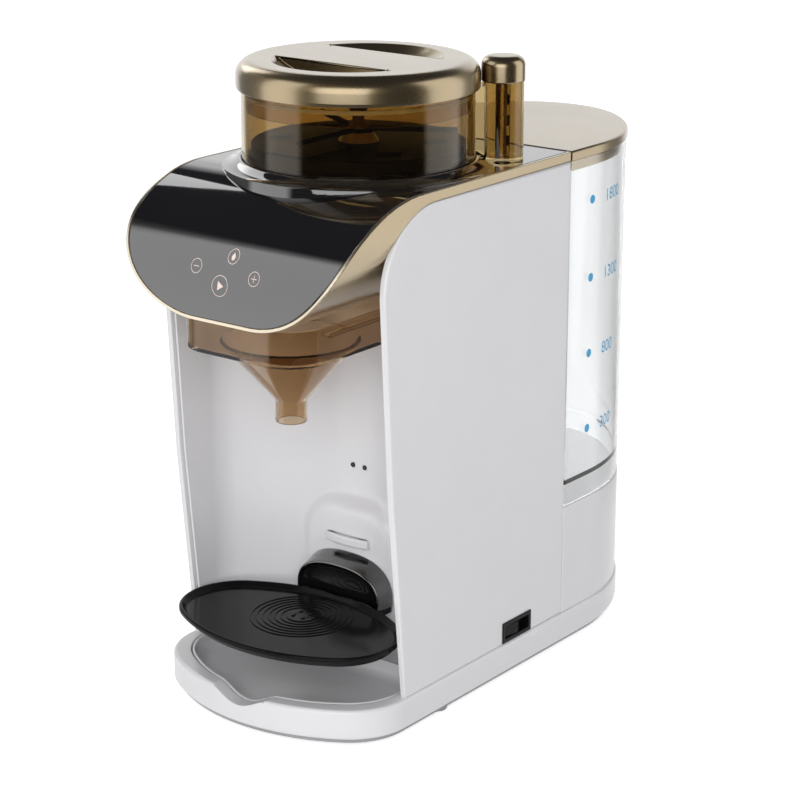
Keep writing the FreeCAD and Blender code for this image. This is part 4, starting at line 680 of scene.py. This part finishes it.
class BaseShell(bpy.types.Operator):
    """White base with the tray's well and the finger notch"""
    bl_idname = "formula.base_shell"
    bl_label = "Base"

    def execute(self, context):
        low, top = shell().foot, shell().base_top
        section = edge_section(0.008, low, top, 0.0025, shell().lip_edge)
        floor, lead = top - TRAY_DEEP - GAP, 0.0009
        well = ([(0.002, floor), (0.0, floor + 0.002)] + arc((-lead, top - lead), lead, 0, 90, 6)
                + [(-lead, top + 0.01)])
        body = combined(solid(sweep(base_outline(), section)),
                        [solid(sweep(tray_outline(-GAP), well)), notch_cutter()])
        make("base_shell_body", body, "Moulded white", "body", "base_shell",
             bevel=0.0006, limit=40)
        return {"FINISHED"}


class DripTray(bpy.types.Operator):
    """Drip tray: a white bowl with a thin lip and a filleted floor"""
    bl_idname = "formula.drip_tray"
    bl_label = "Drip tray"

    def execute(self, context):
        top = shell().base_top
        low, wall = top - TRAY_DEEP, 0.0018
        section = rounded([(0.012, low, 0.0), (0.001, low, 0.0015), (0.0, top, 0.0007),
                           (wall, top, 0.0007), (0.0026, low + wall, 0.0065),
                           (0.016, low + wall, 0.0)], 7)
        body = combined(solid(sweep(tray_outline(0.0), section)), [notch_cutter()])
        make("drip_tray_bowl", body, "Moulded white", "tray", "drip_tray", bevel=0.0004, limit=40)
        return {"FINISHED"}


def boss_share(x, z):
    """How far the boss stands out of the bay wall: 0 on the wall, 1 on its flat front."""
    half, top, corner, flare, edge = 0.0355, 0.109, 0.022, 0.0045, 0.0050
    across, above = abs(x) - half + corner, z - top + corner
    outside = math.hypot(max(across, 0.0), max(above, 0.0)) - corner
    distance = outside + min(max(across, above), 0.0)
    share = min(max((flare - distance) / (flare + edge), 0.0), 1.0)
    return share * share * (3 - 2 * share)


def liner_ring(level):
    """Bay wall seen from above at a level: cheeks, round corners, wide arc and boss."""
    side, face, wide, turn, middle, front = 0.0777, 0.0762, 0.095, 0.024, -0.033, -0.0174
    wall, boss = 0.0025, 0.052
    across = face - turn
    along = math.sqrt((wide - turn) ** 2 - across ** 2)
    swing = math.degrees(math.atan2(along, across))
    edge = math.degrees(math.acos(side / (wide + wall)))
    inner = [Vector((-face, front))]
    inner += arc((-across, middle + along), turn, 180, 180 - swing, 8)
    inner += arc((0.0, middle), wide, 180 - swing, swing, 72)[1:-1]
    inner += arc((across, middle + along), turn, swing, 0, 8) + [Vector((face, front))]
    for point in inner:
        share = boss_share(point.x, level)
        if share:
            point.y += (boss - point.y) * share
    outer = arc((0.0, middle), wide + wall, edge, 180 - edge, 40)
    return [Vector((side, front))] + outer + [Vector((-side, front))] + inner


def lens_eye(side):
    """Cutter for the opening in front of a sensor lens."""
    ring = [Vector((p.x + side * 0.0045, p.y + 0.131)) for p in ring_line(0.0015, 24)]
    return prism(ring, 0.05, 0.08, lengthways)


class BayLiner(bpy.types.Operator):
    """Curved bay wall with its cheeks and soft boss, and the hooks that carry the table"""
    bl_idname = "formula.bay_liner"
    bl_label = "Bay wall and hooks"

    def execute(self, context):
        size = shell()
        low, top = size.base_top, size.panel_top - 0.0015
        # fine steps up the boss, then the ones that the lens openings need
        levels = [low + (0.118 - low) * k / 44 for k in range(45)]
        levels += [0.126, 0.1285, 0.1295, 0.1325, 0.1335, 0.136, 0.145, 0.18, 0.22, 0.26, top]
        wall = solid(skin([[upright(p, level) for p in liner_ring(level)] for level in levels]))
        edge = walk([(0.066, low - 0.001), (0.066, top + 0.001), (0.0321, top + 0.001),
                     (-0.0149, size.panel_top - KNEE), (0.0039, low - 0.001)],
                    {2: KNEE, 3: LEAN})
        wall = combined(wall, [prism(edge, -0.08, 0.08, sideways)], "INTERSECT")
        room = block((-0.09, -0.08, head().floor - 0.0002), (0.09, 0.0623, 0.33))
        wall = combined(wall, [room, lens_eye(-1), lens_eye(1)])
        make("bay_wall", wall, "Moulded white", "body", "bay_liner", bevel=0.0004, limit=40)
        root, tip, half, tall = 0.0525, 0.0490, 0.016, 0.0055
        outline = walk([(-half, root), (-half, tip), (half, tip), (half, root)], {1: 0.065}, 2)
        for name, node, low in (("table_hook_tab", "table_hook", 0.0845),
                                ("lower_hook_tab", "lower_table_hook", 0.064)):
            section = edge_section(0.003, low, low + tall, 0.0012, 0.0012)
            make(name, sweep(outline, section), "Moulded white", "body", node)
        return {"FINISHED"}


# ---- bottle table

def table_outline(inward):
    """The table's oval, exact at every inset."""
    half, deep, tip, middle = 0.075 - inward, 0.047 - inward, 0.036 - inward, -0.005
    side = side_bend(deep, half - tip, tip)
    share = side / (side - tip)
    x, y = (half - tip) * share, (side - deep) * share - (side - deep)
    points = [(-x, middle - y), (x, middle - y), (half, middle), (x, middle + y),
              (-x, middle + y), (-half, middle)]
    return walk(points, {0: side, 1: tip, 2: tip, 3: side, 4: tip, 5: tip}, 3)


class BottleTable(bpy.types.Operator):
    """Satin black bottle table: rim lip, under-band, rings and screwed hub"""
    bl_idname = "formula.bottle_table"
    bl_label = "Bottle table"

    def execute(self, context):
        low, plate, top = 0.0480, 0.0520, 0.0550
        section = rounded([(0.020, low, 0.0), (0.0040, low, 0.0016), (0.0022, 0.0516, 0.0004),
                           (0.0, 0.0522, 0.0004), (0.0, top, 0.0012), (0.0020, top, 0.0007),
                           (0.0042, plate, 0.0015), (0.020, plate, 0.0)], 5)
        body = solid(skin([[upright(p, level) for p in table_outline(inward)]
                           for inward, level in section]))
        body = combined(body, [block((-0.033, 0.010, 0.0482), (0.033, 0.0515, plate))], "UNION")
        room = prism(inset(hood_ring(0.0, 0.0), -0.0002), 0.0398, 0.056, lengthways)
        body = combined(body, [room])
        make("table_dish", body, "Table black", "table", "bottle_table", bevel=0.0006, limit=50)
        self.rings()
        return {"FINISHED"}

    def rings(self):
        """Six raised rings round a low hub with four screw heads."""
        centre, low, top, wide = (0.0, 0.007), 0.0515, 0.0525, 0.0009
        bm = bmesh.new()
        for number in range(6):
            outer = 0.031 - number * 0.0036
            profile = rounded([(outer, low, 0.0), (outer, top, 0.0003),
                               (outer - wide, top, 0.0003), (outer - wide, low, 0.0)], 3)
            lathe(profile, centre, 128, bm, low_cap=False, high_cap=False)
        hub, hub_top = 0.0092, 0.0526
        profile = rounded([(hub, low, 0.0), (hub, hub_top, 0.0004), (0.0001, hub_top, 0.0)], 4)
        lathe(profile, centre, 64, bm, low_cap=False)
        for turn in range(4):
            spot = polar(0.0052, math.radians(45 + 90 * turn), centre)
            lathe([(0.0015, 0.0524), (0.0014, 0.0529), (0.0009, 0.0532), (0.0001, 0.0533)],
                  spot, 24, bm, low_cap=False)
        make("table_rings", bm, "Table black", "table")


def hood_ring(inward, drop):
    """Bracket seen from the front, as (x, z): a half oval with full shoulders."""
    half, low, top, foot, full = 0.0335 - inward, 0.052, 0.0792 - drop, 0.003, 0.8
    points = [Vector((-half, low)), Vector((half, low))]
    for k in range(1, 40):
        turn = math.pi * k / 40
        x, z = math.cos(turn), math.sin(turn)
        points.append(Vector((math.copysign(abs(x) ** full, x) * half,
                              low + foot + z ** full * (top - low - foot))))
    return points


class TableBracket(bpy.types.Operator):
    """Hollow bracket on the table's tongue, with a deep dish in its face"""
    bl_idname = "formula.table_bracket"
    bl_label = "Table bracket"

    def execute(self, context):
        front, rear, rim = 0.040, 0.0514, 0.0012
        line = [(0.0090, 0.0090, front + 0.0056), (0.0030, 0.0030, front + 0.0056),
                (0.0026, 0.0026, rear), (0.0, 0.0, rear), (0.0002, 0.0006, 0.0500),
                (0.0012, 0.0030, 0.0440)]
        for k in range(7):
            turn = math.radians(15 * k)
            edge = rim * math.cos(turn)
            line.append((0.0030 - edge, 0.0056 - edge, front + rim - rim * math.sin(turn)))
        for k in range(13):
            turn = math.radians(7.5 * k)
            deep = 1 - math.cos(turn)
            line.append((0.0034 + 0.0120 * deep, 0.0058 + 0.0115 * deep,
                         front + 0.0004 + 0.0048 * math.sin(turn)))
        bm = skin([[lengthways(p, y) for p in hood_ring(inward, drop)]
                   for inward, drop, y in line])
        make("bracket_hood", bm, "Bracket black", "table", "table_bracket")
        return {"FINISHED"}


# ---- head

def head_section(inward, lift):
    """Head seen from the front, as (x, z): straight sides and round lower corners."""
    half, corner = shell().half - inward, 0.062 - inward
    low, top = head().floor + inward, shell().deck_top + lift
    return walk([(half, top), (-half, top), (-half, low + corner), (corner - half, low),
                 (half - corner, low), (half, low + corner)], {2: corner, 4: corner}, 3)


def head_profile(inward):
    """Head seen from the side, as (y, z): the deck falls forward in two arcs."""
    size, tilt, back, low = head(), math.radians(35), 0.172, 0.236
    crown, brow, deck = size.crown - inward, size.brow - inward, shell().deck_top
    knee = (-size.reach + size.brow - brow * math.sin(tilt),
            deck - size.crown + crown * math.cos(tilt))
    crown_y = -size.reach + size.brow + (size.crown - size.brow) * math.sin(tilt)
    front = -size.reach + inward
    return walk([(back, low), (back, deck - inward), (crown_y, deck - inward), knee,
                 (front, knee[1] - brow * math.cos(tilt)), (front, low)],
                {2: crown, 3: brow}, 2)


def head_block(inward, lift=0.0, back=0.1617):
    return prism(head_section(inward, lift), -head().reach - 0.001, back, lengthways)


def profile_block(inward=0.0):
    return prism(head_profile(inward), -0.083, 0.083, sideways)


def panel_room(sign):
    """Space that a side panel takes out of the head, with its seam gap."""
    gap = 0.0003
    low, high = sorted((sign * (shell().half - shell().wall - gap), sign * 0.085))
    return prism(inset(lean_outline(), -gap), low, high, sideways)


class HeadBand(bpy.types.Operator):
    """Gold band: the head's sides, underside and the thin rim round the fascia"""
    bl_idname = "formula.head_band"
    bl_label = "Gold head band"

    def execute(self, context):
        floor = head().floor
        # openings for the riser hose, the powder chute and the water nozzle
        holes = [rod(radius, spot, floor - 0.001, floor + 0.005) for radius, spot in
                 ((0.0045, (0.018, 0.126)), (0.0117, OUTLET), (0.0034, (0.0, -0.018)))]
        body = combined(head_block(0.0), [profile_block()], "INTERSECT")
        room = head_block(0.0022, lift=0.005, back=0.1595)
        body = combined(body, [room, panel_room(-1), panel_room(1)] + holes)
        band = make("gold_head_band", body, "Champagne coat", "body", "head_band",
                    bevel=0.0006, limit=35)
        band.data.materials.append(finish("Painted highlight gold"))
        # painted highlight: the rim, which is what looks forward, and what looks up beside the
        # deck, get a lighter lit copy of the gold
        for face in band.data.polygons:
            if face.normal.y < -0.15 or (face.normal.z > 0.5 and face.center.z > 0.27):
                face.material_index = 1
        return {"FINISHED"}


class Fascia(bpy.types.Operator):
    """Polished black fascia over the front and deck, with the container's sloping collar"""
    bl_idname = "formula.fascia"
    bl_label = "Black fascia and collar"

    def execute(self, context):
        deck, jar = shell().deck_top, (0.0, head().jar_back)
        body = combined(head_block(0.00235, lift=0.005), [profile_block()], "INTERSECT")
        thick, depth = 0.0026, (deck - 0.006, deck + 0.006)
        drive, outlet = rod(0.009, jar, *depth), rod(0.0099, OUTLET, *depth)
        body = combined(body, [profile_block(thick), drive, outlet])
        make("black_fascia", body, "Fascia black", "body", "control_panel", bevel=0.0005, limit=35)

        ring, skirt, slope = 0.0679, deck - 0.009, 0.0022
        section = [(ring, skirt), (ring, deck + 0.0036), (ring + 0.0004, deck + 0.0040),
                   (ring + 0.0016, deck + 0.0040), (ring + slope, deck + 0.0037)]
        for k in range(1, 13):
            share = k / 12
            section.append((ring + slope + 0.0087 * share,
                            deck + 0.0002 + 0.0035 * (1 - share) ** 1.9))
        section += [(ring + 0.0112, deck - 0.0003), (ring + 0.0112, skirt)]
        body = combined(solid(lathe(section, jar, 180, closed=True)),
                        [profile_block()] + tower_shapes(GAP, deck - 0.001))
        make("sloping_collar", body, "Fascia black", "body", "container_collar")
        return {"FINISHED"}


def tower_spot():
    return polar(head().lid + GAP + CAP_RADIUS, math.radians(42.8), (0.0, head().jar_back))


def tower_shapes(margin, low):
    """The tower beside the container and its neck, grown by a margin."""
    spot, radius, tall = tower_spot(), 0.0123, 0.0455
    half_neck, neck_tall = 0.007, 0.0435
    centre = Vector((0.0, head().jar_back))
    along = (spot - centre).normalized()
    across = Vector((-along.y, along.x)) * (half_neck + margin)
    neck = prism([centre - across, spot - across, spot + across, centre + across],
                 low, low + neck_tall)
    return [rod(radius + margin, spot, low, low + tall, 96), neck]


# ---- touch marks

def brow_spot(x, z):
    """Point of a print that lies on the head's front surface."""
    radius, reach, bend_low, ink = head().brow, head().reach, 0.25536, 0.00006
    if z <= bend_low:
        return Vector((x, -reach - ink, z))
    turn = math.pi - math.asin(min((z - bend_low) / radius, 1.0))
    return sideways(polar(radius + ink, turn, (radius - reach, bend_low)), x)


def mark_area(bm, centre, *outlines):
    """A thin printed area on the front, from an outline and holes about its centre."""
    lines = [[p + Vector(centre) for p in line] for line in outlines]
    flat = [[Vector((p.x, p.y, 0.0)) for p in line] for line in lines]
    points = [bm.verts.new(brow_spot(p.x, p.y)) for line in lines for p in line]
    for triple in tessellate_polygon(flat):
        bm.faces.new([points[k] for k in triple])


def bar_line(half, thick):
    return [Vector(corner) for corner in
            ((-half, -thick), (half, -thick), (half, thick), (-half, thick))]


def drop_line(width, height):
    """A water drop standing on its round end."""
    line = []
    for k in range(40):
        angle = math.pi * (-0.5 + k / 40) * 2
        taper = 1.0 if math.sin(angle) < 0 else (1 - math.sin(angle)) ** 0.6
        line.append(Vector((width * math.cos(angle) * taper, height * math.sin(angle))))
    return line


class TouchMarks(bpy.types.Operator):
    """Plain touch marks on the front: less, drop, start and more, each in a thin ring"""
    bl_idname = "formula.touch_marks"
    bl_label = "Touch marks"

    def execute(self, context):
        thick = head().mark
        less, drop, start, more = (-0.020, 0.276), (0.004, 0.284), (-0.001, 0.268), (0.022, 0.275)
        bm = bmesh.new()
        for spot, radius in ((less, 0.0039), (drop, 0.0039), (start, 0.0057), (more, 0.0039)):
            mark_area(bm, spot, ring_line(radius), ring_line(radius - thick)[::-1])
        for spot in (less, more):
            mark_area(bm, spot, bar_line(0.0019, thick * 0.6))
        for side in (-0.00115, 0.00115):
            mark_area(bm, more, [Vector((-p.y, p.x + side))
                                 for p in bar_line(0.00075, thick * 0.6)])
        mark_area(bm, drop, drop_line(0.0013, 0.0020))
        mark_area(bm, start, [Vector((-0.0016, -0.0025)), Vector((0.0026, 0.0)),
                              Vector((-0.0016, 0.0025))])
        make("touch_marks", bm, "Mark pink", "body")
        return {"FINISHED"}


# ---- container lid and tower

class ContainerLid(bpy.types.Operator):
    """Gold lid with its big edge radius and two dished finger pockets"""
    bl_idname = "formula.container_lid"
    bl_label = "Container lid"

    def execute(self, context):
        size = head()
        low, top, radius, deep = size.lid_low, size.lid_top, size.lid, size.scoop_deep
        profile = rounded([(0.060, low + 0.006, 0.0), (0.0665, low, 0.0004),
                           (radius - 0.0003, low, 0.0006), (radius, low + 0.002, 0.0006),
                           (radius, top, size.lid_edge), (radius - 0.012, top, 0.0)], 12)
        body = solid(lathe(profile, (0.0, size.jar_back), 180))
        bend = (size.scoop ** 2 + deep ** 2) / (2 * deep)
        spread = math.acos(1 - (deep + 0.004) / bend)
        line = []
        for k in range(25):
            angle = spread * k / 24
            line.append((max(bend * math.sin(angle), 0.0001),
                         top - deep + bend * (1 - math.cos(angle))))
        for sign in (-1, 1):
            dish = solid(lathe(line, (0.0, size.jar_back + sign * size.scoop_shift), 128))
            near, far = sorted((size.jar_back + sign * size.grip, size.jar_back + sign * 0.08))
            side = block((-0.08, near, low), (0.08, far, top + 0.02))
            body = combined(body, [combined(dish, [side], "INTERSECT")])
        make("gold_lid", body, "Champagne coat", "lid", "container_lid",
             bevel=0.0011, limit=30, steps=4)
        return {"FINISHED"}


class Tower(bpy.types.Operator):
    """Domed gold cap on the container's side tower"""
    bl_idname = "formula.tower"
    bl_label = "Tower cap"

    def execute(self, context):
        low = 0.3629
        profile = rounded([(0.0040, low, 0.0), (0.0122, low, 0.0003),
                           (CAP_RADIUS, low + 0.0006, 0.0003),
                           (CAP_RADIUS, low + 0.0146, 0.0055),
                           (0.004, low + 0.0150, 0.0)], 8)
        make("gold_tower_cap", lathe(profile, tower_spot(), 96), "Champagne coat", "container",
             "tower_cap")
        return {"FINISHED"}


# ---- rear

class RearHousing(bpy.types.Operator):
    """White rear housing under the tank, with the socket's well and the inlet opening"""
    bl_idname = "formula.rear_housing"
    bl_label = "Rear housing"

    def execute(self, context):
        low, top, wall = shell().base_top, shell().base_top + 0.070, 0.003
        outline = walk(*rear_oval(shell().half, shell().seam), 3)
        section = edge_section(0.008, low, top, 0.0005, 0.0016)
        inside = prism(inset(outline, wall), low - 0.001, top - wall)
        well = rod(0.0121, (0.0, 0.215), top - 0.006, top + 0.003)
        inlet = block((-0.0102, 0.281, low + 0.0118), (0.0102, 0.297, low + 0.0252))
        body = combined(solid(sweep(outline, section)), [inside, well, inlet])
        make("rear_housing_shell", body, "Moulded white", "body", "rear_housing",
             bevel=0.0005, limit=40)
        return {"FINISHED"}


class TankLid(bpy.types.Operator):
    """Gold tank lid: a flat plate with soft edges and a hollow plug under it"""
    bl_idname = "formula.tank_lid"
    bl_label = "Tank lid"

    def execute(self, context):
        low, top, over = shell().panel_top, shell().deck_top, 0.0004
        outline = walk(*rear_oval(shell().half + over, shell().seam + over, 0.2934, 0.0604), 3)
        section = rounded([(0.020, low - 0.002, 0.0), (0.0058, low - 0.002, 0.0003),
                           (0.0058, low - 0.007, 0.0005), (0.0038, low - 0.007, 0.0005),
                           (0.0034, low, 0.0003), (0.0, low, 0.0006), (0.0, top, 0.0019),
                           (0.006, top, 0.0)])
        make("gold_tank_lid", sweep(outline, section), "Champagne coat", "tank_cover", "tank_lid")
        return {"FINISHED"}


def tank_side(y):
    """Point of a print that lies on the tank's right side, seen from above."""
    half, run, tip, ink = 0.0816, 0.042, 0.0596, 0.00008
    if y <= OVAL_START:
        return Vector((half + ink, y))
    bend = side_bend(half, run, tip)
    turn = math.asin((y - OVAL_START) / bend)
    return Vector((half - bend, OVAL_START)) + polar(1.0, turn) * (bend + ink)


class TankPrints(bpy.types.Operator):
    """Blue level dots and plain amounts printed on the tank's side"""
    bl_idname = "formula.tank_prints"
    bl_label = "Tank level marks"

    def execute(self, context):
        dots, dot_y, dot_radius = bmesh.new(), 0.1865, 0.0027
        for amount, z in (("1800", 0.284), ("1300", 0.2355), ("800", 0.1875), ("300", 0.139)):
            spots = [tank_side(dot_y + p.x).to_3d() + Vector((0.0, 0.0, z + p.y))
                     for p in ring_line(dot_radius, 32)]
            dots.faces.new([dots.verts.new(spot) for spot in spots])
            self.number(amount, z)
        make("level_dots", dots, "Print blue", "tank")
        return {"FINISHED"}

    def number(self, amount, z):
        """The amount in the built-in font, laid on the curved side at a dot's height."""
        left, half_height = 0.2015, 0.0037
        curve = bpy.data.curves.new("amount", "FONT")
        curve.body = amount
        curve.size = 0.0105
        text = placed("amount", curve)
        mesh = seen_mesh(text)
        bpy.data.objects.remove(text)
        for vertex in mesh.vertices:
            foot = tank_side(left + vertex.co.x)
            vertex.co = (foot.x, foot.y - shell().spout_back, z - half_height + vertex.co.y)
        finish_piece("amount_" + amount, mesh, "Print blue", "tank")


# ---- parts kept from the frame

CLEAR_PARTS = (
    ("Smoky amber", 0.0, "powder_container lid_plug"),
    ("Funnel amber", 0.0003, "mixing_funnel"),
    ("Wheel brown", 0.0003, "container_floor powder_wheel stirring_blades scraper_plate"),
    ("Post amber", 0.0004, "stir_post"),
    ("Tank clear", 0.0, "water_tank"),
)
INNER_PARTS = (
    ("Inner plastic", 0.0003, "bottom_plate spine_frame tank_socket water_nozzle "
     "spring_bridge tank_valve motor_bracket drive_shaft water_pump"),
    ("Moulded white", 0.0004, "powder_chute funnel_rails"),
    ("Silicone", 0.0, "lid_seal valve_seal tank_hose riser_hose spout_hose"),
    ("Steel", 0.0003, "cover_screws motor_screws heater_tank thermostat drive_motor "
     "valve_spring"),
    ("Black screws", 0.0002, "table_screws"),
    ("Board green", 0.0002, "touch_board sensor_board main_board power_board"),
    ("Lens dark", 0.0002, "sensor_lenses"),
    ("Foot rubber", 0.0006, "rubber_feet"),
    ("Champagne coat", 0.0005, "tower_post"),
    ("Table black", 0.0005, "switch_bezel switch_rocker power_inlet"),
)


def dress(parts):
    """A finish, and soft edges where given, on solids that the frame brings."""
    for look, bevel, nodes in parts:
        for node in nodes.split():
            part = frame["nodes"][node]
            for slot in part.material_slots:
                slot.material = finish(look)
            if not part.material_slots:
                part.data.materials.append(finish(look))
            if bevel:
                part.modifiers.new("Weld", "WELD").merge_threshold = 0.00001
                flat = part.modifiers.new("Flat faces", "DECIMATE")
                flat.decimate_type = "DISSOLVE"
                flat.angle_limit = math.radians(0.6)
                part.modifiers.new("Split faces", "TRIANGULATE").min_vertices = 5
                soften(part, bevel, 30)
                part.modifiers.new("Even shading", "WEIGHTED_NORMAL").keep_sharp = True


class ClearParts(bpy.types.Operator):
    """Smoky amber container and funnel, the dark dosing wheel and the clear water tank"""
    bl_idname = "formula.clear_parts"
    bl_label = "Clear parts"

    def execute(self, context):
        dress(CLEAR_PARTS)
        return {"FINISHED"}


class InnerParts(bpy.types.Operator):
    """Finishes of the parts inside: valve, hoses, boards, pump, heater, motor"""
    bl_idname = "formula.inner_parts"
    bl_label = "Inner parts"

    def execute(self, context):
        dress(INNER_PARTS)
        return {"FINISHED"}


# ---- studio

WHITE = (1.0, 1.0, 1.0, 1.0)
NEAR, RIGHT = (0.61, -0.79, 0.0), (0.79, 0.61, 0.0)    # towards the camera, and its right
AIM = (0.0, -0.05, 0.28)
# Each lamp: name, watts, its two sides, its place, whether mirrors show it.
LAMPS = (("key_lamp", 11.0, (1.8, 1.8), (0.80, -1.85, 0.60), False),
         ("front_glow", 18.0, (1.8, 1.8), (0.80, -1.85, 0.62), True),
         ("side_lamp", 0.9, (0.35, 0.5), (-0.93, 0.234, 0.847), True))
# Brightness of the walls that mirrors see, by degrees round from the near side.
SCREENS = ((-180, 0.78), (-150, 0.78), (-138, 0.16), (-101, 0.16), (-94, 1.0), (-60, 1.0),
           (-54, 0.03), (64, 0.03), (70, 1.0), (110, 1.0), (118, 0.16), (138, 0.16),
           (150, 0.78), (180, 0.78))
SCREEN_GAIN = 1.2
FLOOR_GLOW = 0.68
WHITE_REACH = (0.30, 0.60)    # where the white paper begins and ends to fade in mirrors


def wall_light(wire, way):
    """What mirrors see along a direction: bright screens left and right of the camera, a
    paler far wall, and dark in between."""
    right = wire.vector("DOT_PRODUCT", {0: way, 1: RIGHT})
    near = wire.vector("DOT_PRODUCT", {0: way, 1: NEAR})
    turn = wire.ramp(wire.math("ARCTAN2", right, near), -math.pi, math.pi)
    bands = wire.node("ShaderNodeValToRGB", {0: turn})
    points = bands.color_ramp.elements
    for angle, level in SCREENS[2:]:
        points.new(angle / 360 + 0.5)
    for point, (angle, level) in zip(points, SCREENS):
        point.position = angle / 360 + 0.5
        point.color = (level, level, level, 1.0)
    return wire.scaled(bands.outputs[0], SCREEN_GAIN)


class Studio(bpy.types.Operator):
    """White floor that keeps the shadow, soft lamps, sky and camera"""
    bl_idname = "formula.studio"
    bl_label = "Studio"

    def execute(self, context):
        self.floor()
        self.sky(context.scene)
        for name, watts, sides, place, mirrored in LAMPS:
            data = bpy.data.lights.new(name, "AREA")
            data.shape = "RECTANGLE"
            data.size, data.size_y = sides
            data.energy = watts
            lamp = placed(name, data)
            lamp.location = place
            lamp.rotation_euler = (Vector(AIM) - Vector(place)).to_track_quat("-Z", "Y").to_euler()
            lamp.visible_camera = False
            lamp.visible_glossy = mirrored
        data = bpy.data.cameras.new("Camera")
        data.lens = 106.109
        data.sensor_width = 36.0
        data.clip_start = 0.01
        camera = placed("Camera", data)
        camera.location = (0.83581, -1.10276, 0.59855)
        camera.rotation_euler = (math.radians(90 - 17.630), 0.0, math.radians(37.534))
        context.scene.camera = camera
        context.scene.view_settings.view_transform = "Standard"
        return {"FINISHED"}

    def floor(self):
        """Paper that glows where it is looked at, and shows mirrors the walls beyond it."""
        bm = bmesh.new()
        bm.faces.new([bm.verts.new((p.x, p.y, 0.0)) for p in ring_line(9.0, 96)])
        floor = placed("floor", used_up(bm, "floor"))
        paper = bpy.data.materials.new("Studio paper")
        paper.use_nodes = True
        wire = Wiring(paper.node_tree)
        principled = paper.node_tree.nodes["Principled BSDF"]
        mottle = wire.ramp(wire.noise(wire.place(), 3.0, 4.0), 0.3, 0.7)
        wire.put(principled.inputs["Base Color"],
                 wire.mix(mottle, (0.80, 0.80, 0.81, 1.0), (0.82, 0.82, 0.825, 1.0)))
        wire.put(principled.inputs["Roughness"], 0.9)
        wire.put(principled.inputs["Specular IOR Level"], 0.1)
        path = wire.light_path()
        direct = wire.math("MAXIMUM", path["Is Camera Ray"], path["Is Glossy Ray"])
        looked = wire.math("MAXIMUM", direct, path["Is Transmission Ray"])
        glow = wire.node("ShaderNodeEmission", {
            "Color": WHITE, "Strength": wire.math("MULTIPLY", looked, FLOOR_GLOW)})
        both = wire.node("ShaderNodeAddShader", {0: principled.outputs[0], 1: glow.outputs[0]})
        # mirrors see plain white paper near the object and the walls further out
        spot = wire.node("ShaderNodeNewGeometry").outputs["Position"]
        far = wire.ramp(wire.vector("LENGTH", {0: spot}), *WHITE_REACH)
        mirrored = wire.node("ShaderNodeEmission",
                             {"Color": wire.mix(far, WHITE, wall_light(wire, spot))})
        seen = wire.node("ShaderNodeMixShader", {0: path["Is Glossy Ray"], 1: both.outputs[0],
                                                 2: mirrored.outputs[0]})
        wire.put(paper.node_tree.nodes["Material Output"].inputs["Surface"], seen.outputs[0])
        paper.cycles.emission_sampling = "NONE"
        floor.data.materials.append(paper)

    def sky(self, scene):
        """Even light for the shells; mirrors see the walls and a dark ceiling."""
        world = scene.world or bpy.data.worlds.new("World")
        scene.world = world
        world.use_nodes = True
        world.node_tree.nodes.clear()
        wire = Wiring(world.node_tree)
        way = wire.node("ShaderNodeTexCoord").outputs["Generated"]
        height = wire.node("ShaderNodeSeparateXYZ", {0: way}).outputs[2]
        near = wire.vector("DOT_PRODUCT", {0: way, 1: NEAR})
        top = wire.math("ADD", height, wire.ramp(near, -0.7, 0.0, 0.24, 0.0))
        mirrored = wire.mix(wire.ramp(top, 0.66, 0.76), wall_light(wire, way),
                            (0.03, 0.03, 0.035, 1.0))
        path = wire.light_path()
        light = wire.mix(path["Is Glossy Ray"], (0.60, 0.60, 0.605, 1.0), mirrored)
        through = wire.math("MAXIMUM", path["Is Camera Ray"], path["Is Transmission Ray"])
        back = wire.node("ShaderNodeBackground", {"Color": wire.mix(through, light, WHITE)})
        wire.node("ShaderNodeOutputWorld", {"Surface": back.outputs[0]})


# ---- add-on

STEPS = (SidePanels, BaseShell, DripTray, BayLiner, BottleTable, TableBracket, HeadBand,
         Fascia, TouchMarks, ContainerLid, Tower, RearHousing, TankLid, TankPrints,
         ClearParts, InnerParts, Studio)
SETTINGS = {"formula_shell": ShellSizes, "formula_head": HeadSizes,
            "formula_colours": FinishColours}


class FormulaPanel(bpy.types.Panel):
    """Sidebar list of the build steps and their sizes"""
    bl_idname = "VIEW3D_PT_formula_maker"
    bl_label = "Baby formula maker"
    bl_space_type = "VIEW_3D"
    bl_region_type = "UI"
    bl_category = "Formula maker"

    def draw(self, context):
        column = self.layout.column()
        for setting, kind in SETTINGS.items():
            values = getattr(context.scene, setting)
            for field in kind.__annotations__:
                column.prop(values, field)
        for step in STEPS:
            column.operator(step.bl_idname)


def register():
    for setting, kind in SETTINGS.items():
        bpy.utils.register_class(kind)
        setattr(bpy.types.Scene, setting, bpy.props.PointerProperty(type=kind))
    for kind in STEPS + (FormulaPanel,):
        bpy.utils.register_class(kind)


def unregister():
    for kind in reversed(STEPS + (FormulaPanel,)):
        bpy.utils.unregister_class(kind)
    for setting, kind in SETTINGS.items():
        delattr(bpy.types.Scene, setting)
        bpy.utils.unregister_class(kind)


def main():
    register()
    for step in STEPS:
        group, name = step.bl_idname.split(".")
        getattr(getattr(bpy.ops, group), name)()


if __name__ == "__main__":
    main()
